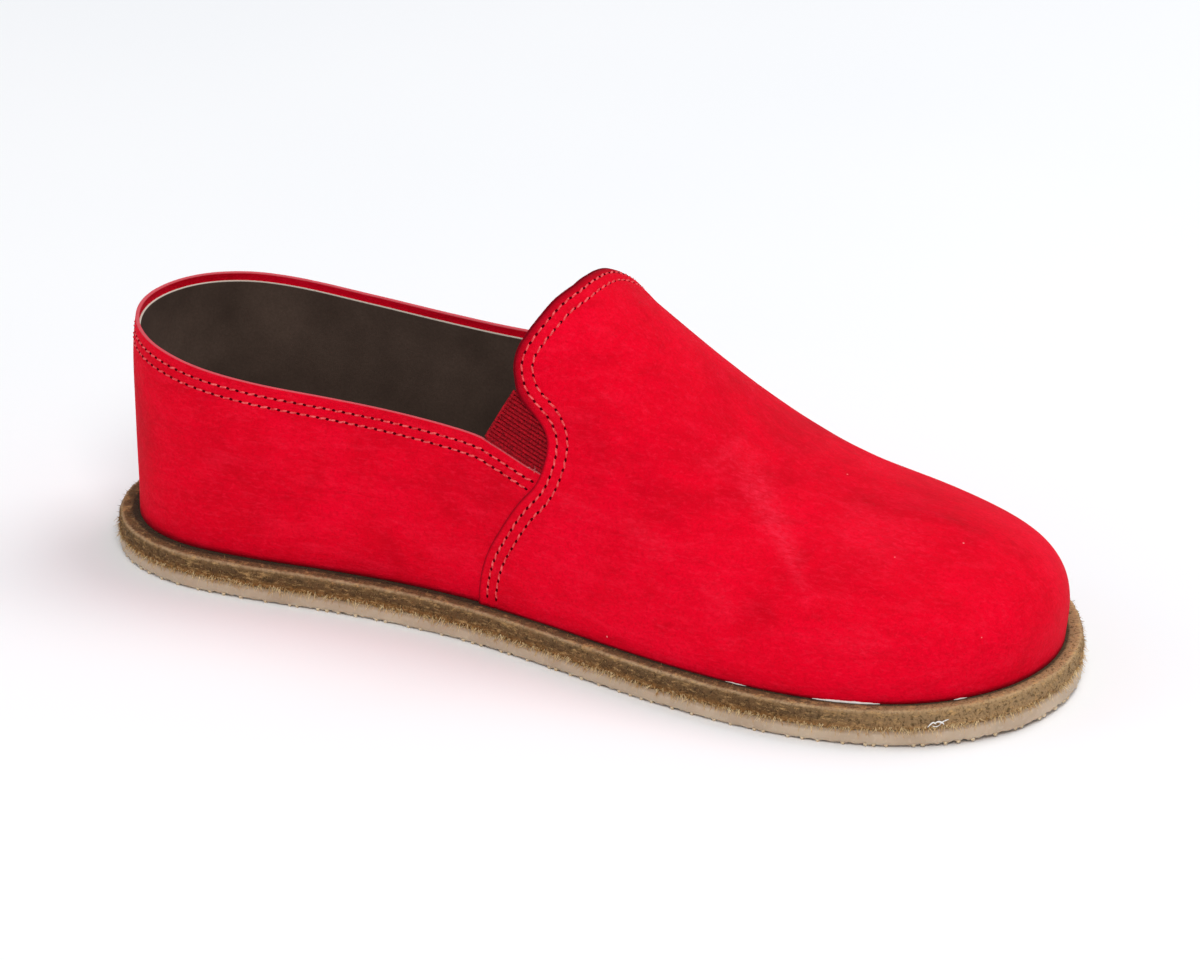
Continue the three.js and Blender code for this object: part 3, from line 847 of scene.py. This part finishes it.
def buildQuarter():
    sides, stitchRows = [], [[], []]
    for outer in (False, True):
        place, normal = quarterGrid(outer, quarter["front"])
        reach = reachOf(rimSteps, place.shape[0])
        x, z = place[..., 0], place[..., 2]
        wave = quarter["wave"] * np.sin(x / 8.0 + z / 13.0) * np.sin(z / 9.0 + 0.6)
        wave = wave * smooth(reach, *quarter["waveFrom"]) * smooth(z, *footFade)
        wave = wave * (1 - smooth(x, *quarter["waveFade"]))
        lift = wave - quarter["seamDip"] * furrows(reach, quarter["rows"], quarter["seamWide"])
        sides.append((place, normal, lift))
        for line, d in zip(stitchRows, quarter["rows"]):
            k = rimSteps.index(d)
            line.append((place[k] - normal[k] * (quarter["under"] - lift[k])[:, None], normal[k]))
    piece = thinSheet("quarter", sides, quarter["under"], quarter["sheet"], redNubuck, quarter["paleness"])
    keep(piece, "upper_leather", "upper")
    return stitchRows


def buildQuarterLining():
    front, drop = quarter["liningFront"], quarter["liningDrop"]
    sides = [(*quarterGrid(outer, front, drop), 0.0) for outer in (False, True)]
    depth = quarter["under"] + quarter["sheet"] + quarter["liningGap"]
    keep(thinSheet("quarterLining", sides, depth, quarter["lining"], taupeLining, 1.0), "lining")


# vamp lining, tucked into the turned edge and laid inside the quarter and the elastic behind it
def buildVampLining(halves):
    whole = Gather()
    wide, start = vamp["along"], len(edgeSteps)
    for place, normal in halves:
        total = place.shape[0]
        used = [*range(vamp["liningRow"], start), *range(start + 1, total, 2)]
        rows = len(used)
        p, n = place[used], normal[used]
        beyond = smooth(p[..., 0] - quarter["front"], *vamp["liningBeyond"])
        deep = vamp["liningDeep"] + vamp["liningStep"] * (1 - hemOf(place)) * (1 - beyond)
        skin = np.concatenate([(p - n * deep[..., None])[::-1], p - n * (deep + vamp["lining"])[..., None]])
        skin[:, 0, 2] -= vamp["touch"]
        faces = gridFaces(2 * rows, wide) + foldEnd(rows, wide, 0)
        whole.add(skin, faces, cut=rawRows(reachOf(edgeSteps, total)[used], vamp["liningRaw"], wide))
    keep(whole.piece("vampLining", taupeLining), "lining")


quarterStitches = buildQuarter()
buildQuarterLining()
buildVampLining(vampSpots)
print("quarter and linings made")


# small Geometry Nodes builder with named inputs
class Tree(Nodes):
    def __init__(self, name):
        self.tree = bpy.data.node_groups.new(name, "GeometryNodeTree")
        self.ids = {}
        for way in ("INPUT", "OUTPUT"):
            self.tree.interface.new_socket("Geometry", in_out=way, socket_type="NodeSocketGeometry")
        self.source = self.add("NodeGroupInput")
        self.result = self.add("NodeGroupOutput")

    def size(self, name, kind="NodeSocketFloat"):
        item = self.tree.interface.new_socket(name, in_out="INPUT", socket_type=kind)
        self.ids[name] = item.identifier
        return self.source.outputs[name]

    def sizes(self, *names):
        return [self.size(name) for name in names]

    def vector(self, kind, a, b):
        return self.work("ShaderNodeVectorMath", {"operation": kind}, a, b)

    def random(self, low, high, seed):
        kind = "FLOAT_VECTOR" if isinstance(low, tuple) else "FLOAT"
        return self.make("FunctionNodeRandomValue", {"data_type": kind}, Min=low, Max=high, Seed=seed)

    def line(self):
        return self.make("GeometryNodeMeshToCurve", Mesh=self.source.outputs["Geometry"])

    # the line cut into points one pitch apart
    def spaced(self, pitch):
        return self.make("GeometryNodeResampleCurve", {"mode": "LENGTH"}, Curve=self.line(), Length=pitch)

    def tube(self, curve, sides, radius):
        ring = self.make("GeometryNodeCurvePrimitiveCircle", Resolution=sides, Radius=radius)
        return self.make("GeometryNodeCurveToMesh", Curve=curve, ProfileCurve=ring, FillCaps=True)

    def cone(self, sides, top, bottom, tall):
        return self.make("GeometryNodeMeshCone", {"fill_type": "NGON"}, Vertices=sides, SideSegments=1,
                         RadiusTop=top, RadiusBottom=bottom, Depth=tall)

    # turned along the line, with its top along the attribute up
    def facing(self):
        up = self.make("GeometryNodeInputNamedAttribute", {"data_type": "FLOAT_VECTOR"}, Name="up")
        along = self.make("FunctionNodeAlignRotationToVector", {"axis": "X"},
                          Vector=self.make("GeometryNodeInputTangent"))
        return self.make("FunctionNodeAlignRotationToVector", {"axis": "Z", "pivot_axis": "X"},
                         Rotation=along, Vector=up)

    def copies(self, points, shape, **inputs):
        return self.make("GeometryNodeInstanceOnPoints", Points=points, Instance=shape, **inputs)

    def close(self, geometry):
        realized = self.make("GeometryNodeRealizeInstances", Geometry=geometry)
        painted = self.make("GeometryNodeSetMaterial", Geometry=realized,
                            Material=self.size("Material", "NodeSocketMaterial"))
        self.feed(self.result.inputs[0], painted)
        return self


# piece grown on a base by a tree, with its lengths in millimetres and its other inputs
def growPiece(name, base, tree, material, lengths, others=None):
    modifier = base.modifiers.new("grow", "NODES")
    modifier.node_group = tree.tree
    values = {key: value * mm for key, value in lengths.items()}
    for key, value in {**values, **(others or {}), "Material": material}.items():
        modifier[tree.ids[key]] = value
    graph = bpy.context.evaluated_depsgraph_get()
    mesh = bpy.data.meshes.new_from_object(base.evaluated_get(graph))
    base.modifiers.remove(modifier)
    bpy.data.objects.remove(base)
    mesh.name = name
    mesh.polygons.foreach_set("use_smooth", [True] * len(mesh.polygons))
    piece = bpy.data.objects.new(name, mesh)
    scene.collection.objects.link(piece)
    return piece


# bare lines for a tree to grow on
def pathPiece(lines, fields=None):
    edges, count = [], 0
    for line in lines:
        edges += [(count + k, count + k + 1) for k in range(len(line) - 1)]
        count += len(line)
    return meshPiece("path", np.concatenate(lines), [], None, fields, edges, weld=False)


# thread stitches along a row: short arched thread, one every pitch
def stitchTree():
    t = Tree("stitchRow")
    pitch, long, thin, rise = t.sizes("Pitch", "Stitch Length", "Thread Radius", "Rise")
    seed = t.size("Seed", "NodeSocketInt")
    sink = t.times(rise, -0.5)
    start = t.make("ShaderNodeCombineXYZ", X=t.times(long, -0.5), Z=sink)
    middle = t.make("ShaderNodeCombineXYZ", Z=rise)
    end = t.make("ShaderNodeCombineXYZ", X=t.times(long, 0.5), Z=sink)
    arc = t.make("GeometryNodeCurveQuadraticBezier", Resolution=5, Start=start, Middle=middle, End=end)
    twist = t.make("FunctionNodeAxisAngleToRotation", Axis=(0, 0, 1), Angle=t.random(0.06, 0.3, seed))
    turned = t.make("FunctionNodeRotateRotation", {"rotation_space": "LOCAL"},
                    Rotation=t.facing(), RotateBy=twist)
    return t.close(t.copies(t.spaced(pitch), t.tube(arc, 6, thin), Rotation=turned,
                            Scale=t.random(0.92, 1.08, seed)))


# needle holes: small flattened dark beads between the stitches, painted shade of the holes' pits
def holeTree():
    t = Tree("needleRow")
    pitch, wide = t.sizes("Pitch", "Hole Radius")
    bead = t.make("GeometryNodeMeshUVSphere", Segments=8, Rings=4, Radius=wide)
    return t.close(t.copies(t.spaced(pitch), bead, Rotation=t.facing(), Scale=(1.25, 0.85, 0.34)))


stitch = {
    "pitch": 2.5, "length": 1.8, "radius": 0.25, "rise": 0.4, "hole": 0.43, "lift": 0.03, "perPitch": 4,
    "vampSeed": 11, "quarterSeed": 21, "clearOfWing": 0.6,
}
stitchNodes, holeNodes = stitchTree(), holeTree()


def sewRow(name, points, normals, seed):
    run = lengthAlong(points)
    count = max(int(run[-1] / stitch["pitch"]), 2)
    whole = count * stitch["pitch"] + 0.001
    even = np.linspace(0, min(whole, run[-1]), stitch["perPitch"] * count)

    def path(shift):
        at = np.clip(even + shift, 0, run[-1])
        up = unit(pickAlong(at, run, normals))
        return pathPiece([pickAlong(at, run, points) + up * stitch["lift"]], {"up": up})

    thread = growPiece(name, path(stitch["pitch"] / 2), stitchNodes, plain["redThread"], {
        "Pitch": stitch["pitch"], "Stitch Length": stitch["length"], "Thread Radius": stitch["radius"],
        "Rise": stitch["rise"]}, {"Seed": seed})
    holes = growPiece(name + "Holes", path(0), holeNodes, plain["needleHoleShade"], {
        "Pitch": stitch["pitch"], "Hole Radius": stitch["hole"]})
    keep(thread, "upper_leather")
    keep(holes, "upper_leather")


# one row from its two sides, points and normals
def joined(sides, innerPart, outerPart):
    return [np.concatenate([a[innerPart], b[outerPart]]) for a, b in zip(*sides)]


# the vamp's rows start three columns above the foot
for n, sides in enumerate(vampStitches):
    place, up = joined(sides, slice(3, None), slice(-2, 2, -1))
    sewRow(f"vampStitches{n + 1}", place, up, stitch["vampSeed"] + n)
for n, sides in enumerate(quarterStitches):
    place, up = joined(sides, slice(None, None, -1), slice(1, None))
    shown = place[:, 0] < edgeX(False, place[:, 2]) - stitch["clearOfWing"]
    sewRow(f"quarterStitches{n + 1}", place[shown], up[shown], stitch["quarterSeed"] + n)
print("stitched")


# elastic gore between wing and quarter: a woven sheet under ribs that run along the quarter's edge
gore = {
    "free": [(-8.6, 62.6), (-11.7, 56.9), (-14.5, 51.6), (-17.0, 46.8)],
    "outerFree": [(-6.2, 62.4), (-10.4, 56.8), (-14.5, 51.6), (-17.4, 47.4)],
    "fall": -0.36, "ribsTo": 50.6, "pitch": 0.95, "slope": 0.98, "rib": 0.44, "ribSides": 8, "brinkStep": 5,
    "deep": 1.35, "under": 0.05, "sheet": 0.5, "tuck": 4.5, "steps": 26,
}


def ribTree():
    t = Tree("elasticRibs")
    radius = t.size("Rib Radius")
    return t.close(t.tube(t.line(), gore["ribSides"], radius))


# lines from the free edge forward to under the wing
def gorePatch(outer, starts):
    startX, startZ = starts.T
    endX = np.full_like(startX, 4.0)
    for _ in range(12):
        endZ = startZ + (endX - startX) * gore["fall"]
        endX = 0.5 * endX + 0.5 * (edgeX(outer, endZ) + gore["tuck"])
    ahead = (endX - startX) * np.linspace(0, 1, gore["steps"])[:, None]
    turn, share = spotOn(outer, startX + ahead, startZ + ahead * gore["fall"])
    return lastPoint(turn, share), normalAt(turn, share)


def buildGore(name, outer, node):
    free = splineThrough(gore["outerFree" if outer else "free"], 200)
    run = lengthAlong(free)
    step = gore["pitch"] / gore["slope"]
    starts = pickAlong(np.arange(0.5 * step, run[-1], step), run, free)
    place, normal = gorePatch(outer, starts)
    lines = (place - normal * gore["deep"])[:, starts[:, 1] > gore["ribsTo"]]
    brink, brinkUp = gorePatch(outer, free[free[:, 1] > gore["ribsTo"]][::gore["brinkStep"]])
    top = gore["deep"] + gore["under"]
    paths = pathPiece([*np.moveaxis(lines, 1, 0), brink[0] - brinkUp[0] * top])
    ribs = growPiece(name + "Ribs", paths, ribTree(), plain["darkElastic"], {"Rib Radius": gore["rib"]})
    keep(ribs, "elastic", node)
    rows, wide = place.shape[:2]
    off = rows * wide
    skin = np.concatenate([place - normal * top, place - normal * (gore["deep"] + gore["sheet"])])
    faces = gridFaces(rows, wide) + [f[::-1] for f in gridFaces(rows, wide, off)]
    for side in (range(0, off, wide), range(wide - 1, off, wide), range(wide), range(off - wide, off)):
        faces += bridge([off + k for k in side], side)
    keep(meshPiece(name + "Sheet", skin.reshape(-1, 3), faces, plain["darkElastic"]), "elastic", node)


buildGore("goreInner", False, "gore_inner")
buildGore("goreOuter", True, "gore_outer")
print("elastic made")


# plate that follows the feather line: rings of height and push, capped across
def plateMesh(rings, around, shape):
    turn = np.arange(around) * fullTurn / around
    points = [shape(roundLine(turn, push, z), n, turn) for n, (z, push) in enumerate(rings)]
    faces = gridFaces(len(rings), around, 0, True)
    top = (len(rings) - 1) * around
    for i in range(around // 2):
        m = (i, i + 1, (around - i - 1) % around, (around - i) % around)
        for start, flip in ((0, True), (top, False)):
            f = [start + k for k in dict.fromkeys(m)]
            faces.append(tuple(f[::-1] if flip else f))
    return np.concatenate(points), faces


def ripple(turn, seed, waves, low, high):
    rng = np.random.default_rng(seed)
    total = np.zeros_like(turn)
    for _ in range(waves):
        total += np.sin(turn * int(rng.integers(low, high)) + rng.uniform(0, 6.28)) * rng.uniform(0.4, 1)
    return total / math.sqrt(waves)


def pushOut(p, turn, far):
    p[:, :2] += np.stack(outwardXY(turn), -1) * far[:, None]


# outsole: thin gum sheet with a smooth rim and rows of small studs under it
outsole = {
    "sheetLow": 0.7, "rimLow": 0.3, "rim": 2.4, "around": 960, "glowAt": 12.0, "glowWide": 5.0, "glow": 0.75,
    "nick": 0.2, "settle": 0.55, "inner": (24, 19, 16, 14, 12, 10, 8, 5.5),
    # rings by number: the rim, the end of the lower edge, the ring above it, the end of the underside
    "rimRings": range(11, 19), "lowerEnd": 15, "softRing": 14, "underEnd": 10, "underFade": 12,
    "studPitch": 2.1, "studWide": 0.66, "studTip": 0.42, "studSides": 6, "studIn": 0.8, "studTuck": 0.05,
    "studX": (-126, 126), "studY": (-60, 62), "leastRow": 2,
    "brinkPitch": 3.2, "brinkIn": 0.55, "brinkSeed": 41,
}


def buildOutsole():
    big, sheet, rimLow, rubber = last["flange"], outsole["sheetLow"], outsole["rimLow"], last["rubber"]
    rim, around = outsole["rim"], outsole["around"]
    # height, distance in from the edge
    rows = [(sheet, inset) for inset in outsole["inner"]]
    rows += [
        (sheet, rim + 0.6), (sheet - 0.1, rim + 0.25), (rimLow, rim - 0.05), (rimLow, 1.1),
        (rimLow + 0.1, 0.45), (rimLow + 0.4, 0.1), (1.2, 0), (2.0, -0.03), (2.8, 0), (3.35, 0.06),
        (3.65, 0.25), (rubber, 0.6), (rubber, 5)]

    def shape(p, n, turn):
        onRim, low = n in outsole["rimRings"], n < outsole["lowerEnd"]
        if onRim:
            pushOut(p, turn, 0.07 * ripple(turn, 31, 9, 40, 150) + 0.06 * ripple(turn, 32, 9, 150, 400))
        if low:
            p[:, 2] -= outsole["settle"] * springAt(p[:, 0])
        if onRim and low:
            # the lower edge is nicked where it was cut through the tread
            teeth = np.abs(ripple(turn, 35, 5, 90, 120)) + 0.6 * np.abs(ripple(turn, 36, 5, 180, 260))
            deep = outsole["nick"] * (1.6 if n < outsole["softRing"] else 0.8)
            p[:, 2] += deep * np.clip(teeth - 0.6, -0.6, 1.6)
        return p

    points, faces = plateMesh([(z, big - inset) for z, inset in rows], around, shape)
    height, inset = np.array(rows).T
    number = np.arange(len(rows))
    glow = outsole["glow"] * np.exp(-((inset - outsole["glowAt"]) / outsole["glowWide"]) ** 2)
    glow = glow * np.where(height < 1, 1.0, 0.35)
    shade = np.where((height > 3.3) & (big - inset > 3), 0.55, 0.0)
    under = np.where(number < outsole["underEnd"], 0.8, np.where(number < outsole["underFade"], 0.3, 0.0))
    fields = {"glow": glow, "shade": shade, "under": under}
    fields = {key: np.repeat(values, around) for key, values in fields.items()}
    keep(meshPiece("gumOutsole", points, faces, gumRubber, fields), "sole_rubber", "outsole")


def studTree():
    t = Tree("treadStuds")
    low, tip, tall = t.sizes("Stud Radius", "Tip Radius", "Stud Height")
    return t.close(t.copies(t.source.outputs["Geometry"], t.cone(outsole["studSides"], low, tip, tall)))


def buildStuds():
    pitch = outsole["studPitch"]
    turn = ringTurns[:-1]
    half = len(turn) // 2
    ex, ey = edgePoint(turn, last["flange"] - outsole["rim"] - outsole["studIn"])
    along = np.linspace(-130, 130, 1041)
    none = 999  # off the sole
    innerY = np.interp(along, ex[:half + 1], ey[:half + 1], none, none)
    outerY = np.interp(along, ex[half:][::-1], ey[half:][::-1], -none, -none)
    (firstX, endX), (firstY, endY) = outsole["studX"], outsole["studY"]

    def spot(x, y, up=0.0):
        return x, y + shiftY, (1 - outsole["settle"]) * springAt(x) + up

    spots = []
    for r, x in enumerate(np.arange(firstX, endX, pitch * math.sqrt(3) / 2)):
        low, high = np.interp(x, along, innerY), np.interp(x, along, outerY)
        if high - low >= outsole["leastRow"]:
            across = np.arange(firstY + (r % 2) * pitch / 2, endY, pitch)
            spots += [spot(x, y) for y in across if low < y < high]
    # a few more that were cut through at the brink
    rng = np.random.default_rng(outsole["brinkSeed"])
    brink = np.cumsum(rng.uniform(0.5, 2.1, 400) * outsole["brinkPitch"])
    edge = np.stack(edgePoint(turn, last["flange"] - outsole["brinkIn"]), -1)
    run = lengthAlong(edge)
    spots += [spot(x, y, outsole["studTuck"]) for x, y in pickAlong(brink[brink < run[-1]], run, edge)]
    cloud = meshPiece("spots", np.array(spots), [], None, weld=False)
    piece = growPiece("treadStuds", cloud, studTree(), studRubber, {
        "Stud Radius": outsole["studWide"], "Tip Radius": outsole["studTip"],
        "Stud Height": outsole["sheetLow"] + outsole["studTuck"]})
    print("studs:", len(spots))
    keep(piece, "sole_rubber", "outsole")


buildOutsole()
buildStuds()

# midsole: thick suede leather with a rough napped edge
midsole = {
    "around": 1440, "rough": 0.12, "grain": 0.07, "lift": 0.02, "toe": (62, 122), "seed": 23,
    # height over the rubber, distance in from the edge, share of the edge, shade
    # the ring at share 1, on the top corner, carries a painted highlight
    "rows": [
        (0, 6, 0, 1), (0, 0.75, 0, 0.8), (0.3, 0.3, 0.06, 0.2), (0.9, 0.02, 0.18, 0), (1.4, -0.05, 0.28, 0),
        (2.0, -0.03, 0.4, 0), (2.6, 0, 0.52, 0), (3.2, 0.03, 0.65, 0), (3.8, 0.12, 0.78, 0),
        (4.25, 0.28, 0.88, 0), (4.83, 0.55, 1, 0), (5.01, 0.95, 0.94, 0), (5.03, 1.6, 0.8, 0),
        (5.03, 2.4, 0.74, 0.08), (5.03, 3.1, 0.7, 0.3), (5.0, 3.6, 0.7, 0.95), (4.93, 7, 0.6, 1)],
    # rings by number: those that waver, the end of the side, those with grain
    "waver": range(1, 15), "sideEnd": 12, "grained": range(2, 14),
    # fibres: name, finish, lowest and highest share of the edge, number per square metre, length, radius,
    # how far they lean outward, hang and scatter
    "nap": [("suedeNap", plain["suedeFibre"], 0.1, 1.45, 1.6e6, 1.0, 0.075, 0.6, 0.5, 0.9),
            ("goldFringe", plain["goldFibre"], -0.04, 0.24, 5.0e6, 2.2, 0.115, 0.3, 0.8, 0.65)],
    "napSeed": 5, "napLow": 0.1, "napRows": 10, "napAround": 360,
    "napShare": [0, 0.06, 0.2, 0.7, 0.9, 1, 1.5], "napPush": [-0.6, -0.25, 0, -0.04, -0.25, -0.6, -3.3],
}


def buildMidsole():
    low, around = last["rubber"] + midsole["lift"], midsole["around"]
    rng = np.random.default_rng(midsole["seed"])

    def shape(p, n, turn):
        if n in midsole["waver"]:
            wobble = midsole["rough"] * (ripple(turn, 40 + n, 14, 60, 420) + 0.6 * ripple(turn, 7, 8, 9, 40))
            pushOut(p, turn, wobble * (1.0 if n < midsole["sideEnd"] else 0.2))
            if n > 1:
                p[:, 2] += 0.07 * ripple(turn, 60 + n, 12, 50, 400)
        if n in midsole["grained"]:
            p += rng.normal(0, midsole["grain"], p.shape)
        return p

    height, inset, level, shade = np.array(midsole["rows"]).T
    points, faces = plateMesh(list(zip(low + height, last["flange"] - inset)), around, shape)
    piece = meshPiece("suedeMidsole", points, faces, brownSuede, {
        "level": np.repeat(level, around), "shade": np.repeat(shade, around),
        "toe": smooth(points[:, 0], *midsole["toe"])})
    keep(piece, "sole_leather", "midsole")


# nap fibres: thin cones that lean out from the edge and hang down from it
def fibreTree():
    t = Tree("napFibres")
    density, long, thick = t.sizes("Density", "Fibre Length", "Fibre Radius")
    outward, hang, scatter = t.sizes("Outward", "Hang", "Scatter")
    seed = t.size("Seed", "NodeSocketInt")
    spots = t.add("GeometryNodeDistributePointsOnFaces", Mesh=t.source.outputs["Geometry"],
                  Density=density, Seed=seed)
    stray = t.vector("SCALE", t.random((-1, -1, -1), (1, 1, 1), seed), scatter)
    lean = t.vector("ADD", t.vector("SCALE", spots.outputs["Normal"], outward), stray)
    way = t.vector("ADD", lean, t.vector("SCALE", (0, 0, -1), hang))
    turned = t.make("FunctionNodeAlignRotationToVector", {"axis": "Z"}, Vector=way)
    return t.close(t.copies(spots.outputs["Points"], t.cone(3, 0.00001, thick, long), Rotation=turned,
                            Scale=t.random(0.35, 1.15, seed)))


def buildNap():
    rows, around = midsole["napRows"], midsole["napAround"]
    turn = np.arange(around) * fullTurn / around
    nodes = fibreTree()
    for k, row in enumerate(midsole["nap"]):
        name, finish, start, stop, dense, long, thick, outward, hang, scatter = row
        points = []
        for share in np.linspace(start, stop, rows):
            push = last["flange"] + np.interp(share, midsole["napShare"], midsole["napPush"])
            height = last["rubber"] + midsole["napLow"] + last["midsole"] * min(share, 1)
            points.append(roundLine(turn, push, height))
        band = meshPiece("band", np.concatenate(points), gridFaces(rows, around, 0, True), None, weld=False)
        piece = growPiece(name, band, nodes, finish, {"Fibre Length": long, "Fibre Radius": thick}, {
            "Density": dense, "Outward": outward, "Hang": hang, "Scatter": scatter,
            "Seed": midsole["napSeed"] + k})
        print(name, len(piece.data.polygons), "faces")
        keep(piece, "sole_leather")


buildMidsole()
buildNap()


# round strand of changing thickness along a line, closed at both ends
def strand(points, radii, sides):
    tangent = unit(np.gradient(points, axis=0))
    across = unit(np.cross(tangent, (0.13, 0.31, 1.0)))
    over = np.cross(across, tangent)
    angle = np.arange(sides) * fullTurn / sides
    ring = np.cos(angle)[None, :, None] * across[:, None] + np.sin(angle)[None, :, None] * over[:, None]
    skin = points[:, None] + ring * radii[:, None, None]
    count = len(points)
    faces = gridFaces(count, sides, 0, True)
    faces += [tuple(range(sides))[::-1], tuple((count - 1) * sides + k for k in range(sides))]
    return skin, faces


# traces of dried glue along the feather line, and a pulled white fibre low on the edge near the toe
glue = {
    # turn at the start and the end, thickness
    "traces": [(2.05, 2.1, 0.13), (2.266, 2.446, 0.32), (2.668, 2.712, 0.16)],
    "push": 0.12, "up": 0.1, "sway": 0.08, "seed": 17, "sides": 8, "off": 0.25,
    # strands of turn and height, thickness
    "pulled": [
        ([(2.576, 4.7), (2.584, 5.4), (2.592, 5.8), (2.6, 5.3)], 0.13),
        ([(2.594, 5.5), (2.606, 5.9), (2.618, 5.5), (2.622, 5.0)], 0.15),
        ([(2.61, 5.2), (2.622, 5.9), (2.636, 6.2)], 0.11), ([(2.588, 5.0), (2.6, 4.7), (2.612, 5.1)], 0.09)],
}


def buildGlue():
    whole = Gather()
    rng = np.random.default_rng(glue["seed"])
    for start, stop, thick in glue["traces"]:
        turn = np.linspace(start, stop, 40)
        push = glue["push"] + glue["sway"] * ripple(turn * 60, 3, 5, 1, 6)
        path = roundLine(turn, push, soleTop + glue["up"])
        radii = thick * (0.25 + np.sin(np.linspace(0.03, 3.11, 40)) * rng.uniform(0.55, 1.0, 40))
        whole.add(*strand(path, radii, glue["sides"]))
    for rows, thick in glue["pulled"]:
        turn, height = splineThrough(rows, 24).T
        path = roundLine(turn, last["flange"] + glue["off"], height)
        whole.add(*strand(path, thick * (0.4 + np.sin(np.linspace(0.1, 3.0, 25))), glue["sides"]))
    keep(whole.piece("glueTraces", plain["dryGlue"]), "sole_leather")


buildGlue()

# loose fibres at the raw edge of the quarter, deep in the notch
fray = {
    "spot": (-1.0, 45.4), "along": (0.95, 0.0, -0.3), "deep": 0.9, "count": 12, "long": 0.85, "thick": 0.065,
    "spread": 0.75, "steps": 8, "sides": 6, "seed": 29,
}


def buildFray():
    whole = Gather()
    rng = np.random.default_rng(fray["seed"])
    x, z = fray["spot"]
    turn, share = spotOn(False, [x], [z])
    middle, up = lastPoint(turn, share)[0], normalAt(turn, share)[0]
    along = unit(np.array(fray["along"]))
    upright = np.array([0, 0, 1.0])
    t = np.linspace(0, 1, fray["steps"])[:, None]
    for _ in range(fray["count"]):
        start = middle - up * fray["deep"] + along * rng.normal(0, fray["spread"])
        way = along * rng.normal(0, 0.8) + upright * rng.uniform(-0.2, 0.8) + up * rng.uniform(0.1, 0.5)
        way = unit(way)
        bend = unit(np.cross(way, up)) * rng.normal(0, 0.4)
        path = start + way * t * fray["long"] * rng.uniform(0.5, 1.1) + bend * t * t
        whole.add(*strand(path, fray["thick"] * np.linspace(1, 0.3, fray["steps"]), fray["sides"]))
    keep(whole.piece("quarterFray", plain["paleFray"]), "upper_leather")


buildFray()

# insole: soft footbed with a shallow heel seat
insole = {
    "around": 240, "push": -2.75, "heelDip": 0.7, "ballDip": 0.35, "rings": 8, "ringStep": 2.4,
    # height under the top, distance in
    "rim": [(last["insole"], 0), (0.5, 0), (0.12, 0.2), (0, 0.7)],
}


def buildInsole():
    top = upperBase + last["insole"]
    rim = insole["rim"]
    rim = rim + [(0, rim[-1][1] + k * insole["ringStep"]) for k in range(1, insole["rings"] + 1)]
    rings = [(top - down, insole["push"] - inset) for down, inset in rim]

    def shape(p, n, turn):
        if n > 2:
            heel = np.exp(-((p[:, 0] + 82) / 24) ** 2 - (p[:, 1] / 17) ** 2)
            ball = np.exp(-((p[:, 0] - 58) / 30) ** 2 - ((p[:, 1] + 4) / 30) ** 2)
            p[:, 2] -= insole["heelDip"] * heel + insole["ballDip"] * ball
        return p

    points, faces = plateMesh(rings, insole["around"], shape)
    keep(meshPiece("softInsole", points, faces, taupeLining), "lining", "insole")


buildInsole()
print("sole made")


# floor and light
floorHalf = 4000
corners = np.array([(-1, -1, 0), (1, -1, 0), (1, 1, 0), (-1, 1, 0)]) * floorHalf
floor = meshPiece("floor", corners, [(0, 1, 2, 3)], plain["paleFloor"], weld=False)

lamps = [
    # name, place, aim, size, watts, colour
    ("keyLamp", (0.75, -1.35, 1.7), (0.0, 0.0, 0.02), 0.9, 20.6, (1.0, 0.985, 0.96)),
    ("fillLamp", (-1.5, -1.0, 0.9), (0.0, 0.0, 0.03), 1.2, 4, (0.95, 0.97, 1.0)),
    ("topLamp", (0.6, 0.8, 1.8), (0.0, 0.0, 0.03), 1.2, 16.8, (1.0, 1.0, 1.0)),
]
for name, place, aim, size, watts, tint in lamps:
    data = bpy.data.lights.new(name, "AREA")
    data.size = size
    data.energy = watts
    data.color = tint
    putAimed(bpy.data.objects.new(name, data), place, aim)
sky = {"Color": (0.93, 0.96, 1.0, 1.0), "Strength": 0.47}
world = bpy.data.worlds.new("studio")
scene.world = world
world.use_nodes = True
for key, value in sky.items():
    world.node_tree.nodes["Background"].inputs[key].default_value = value
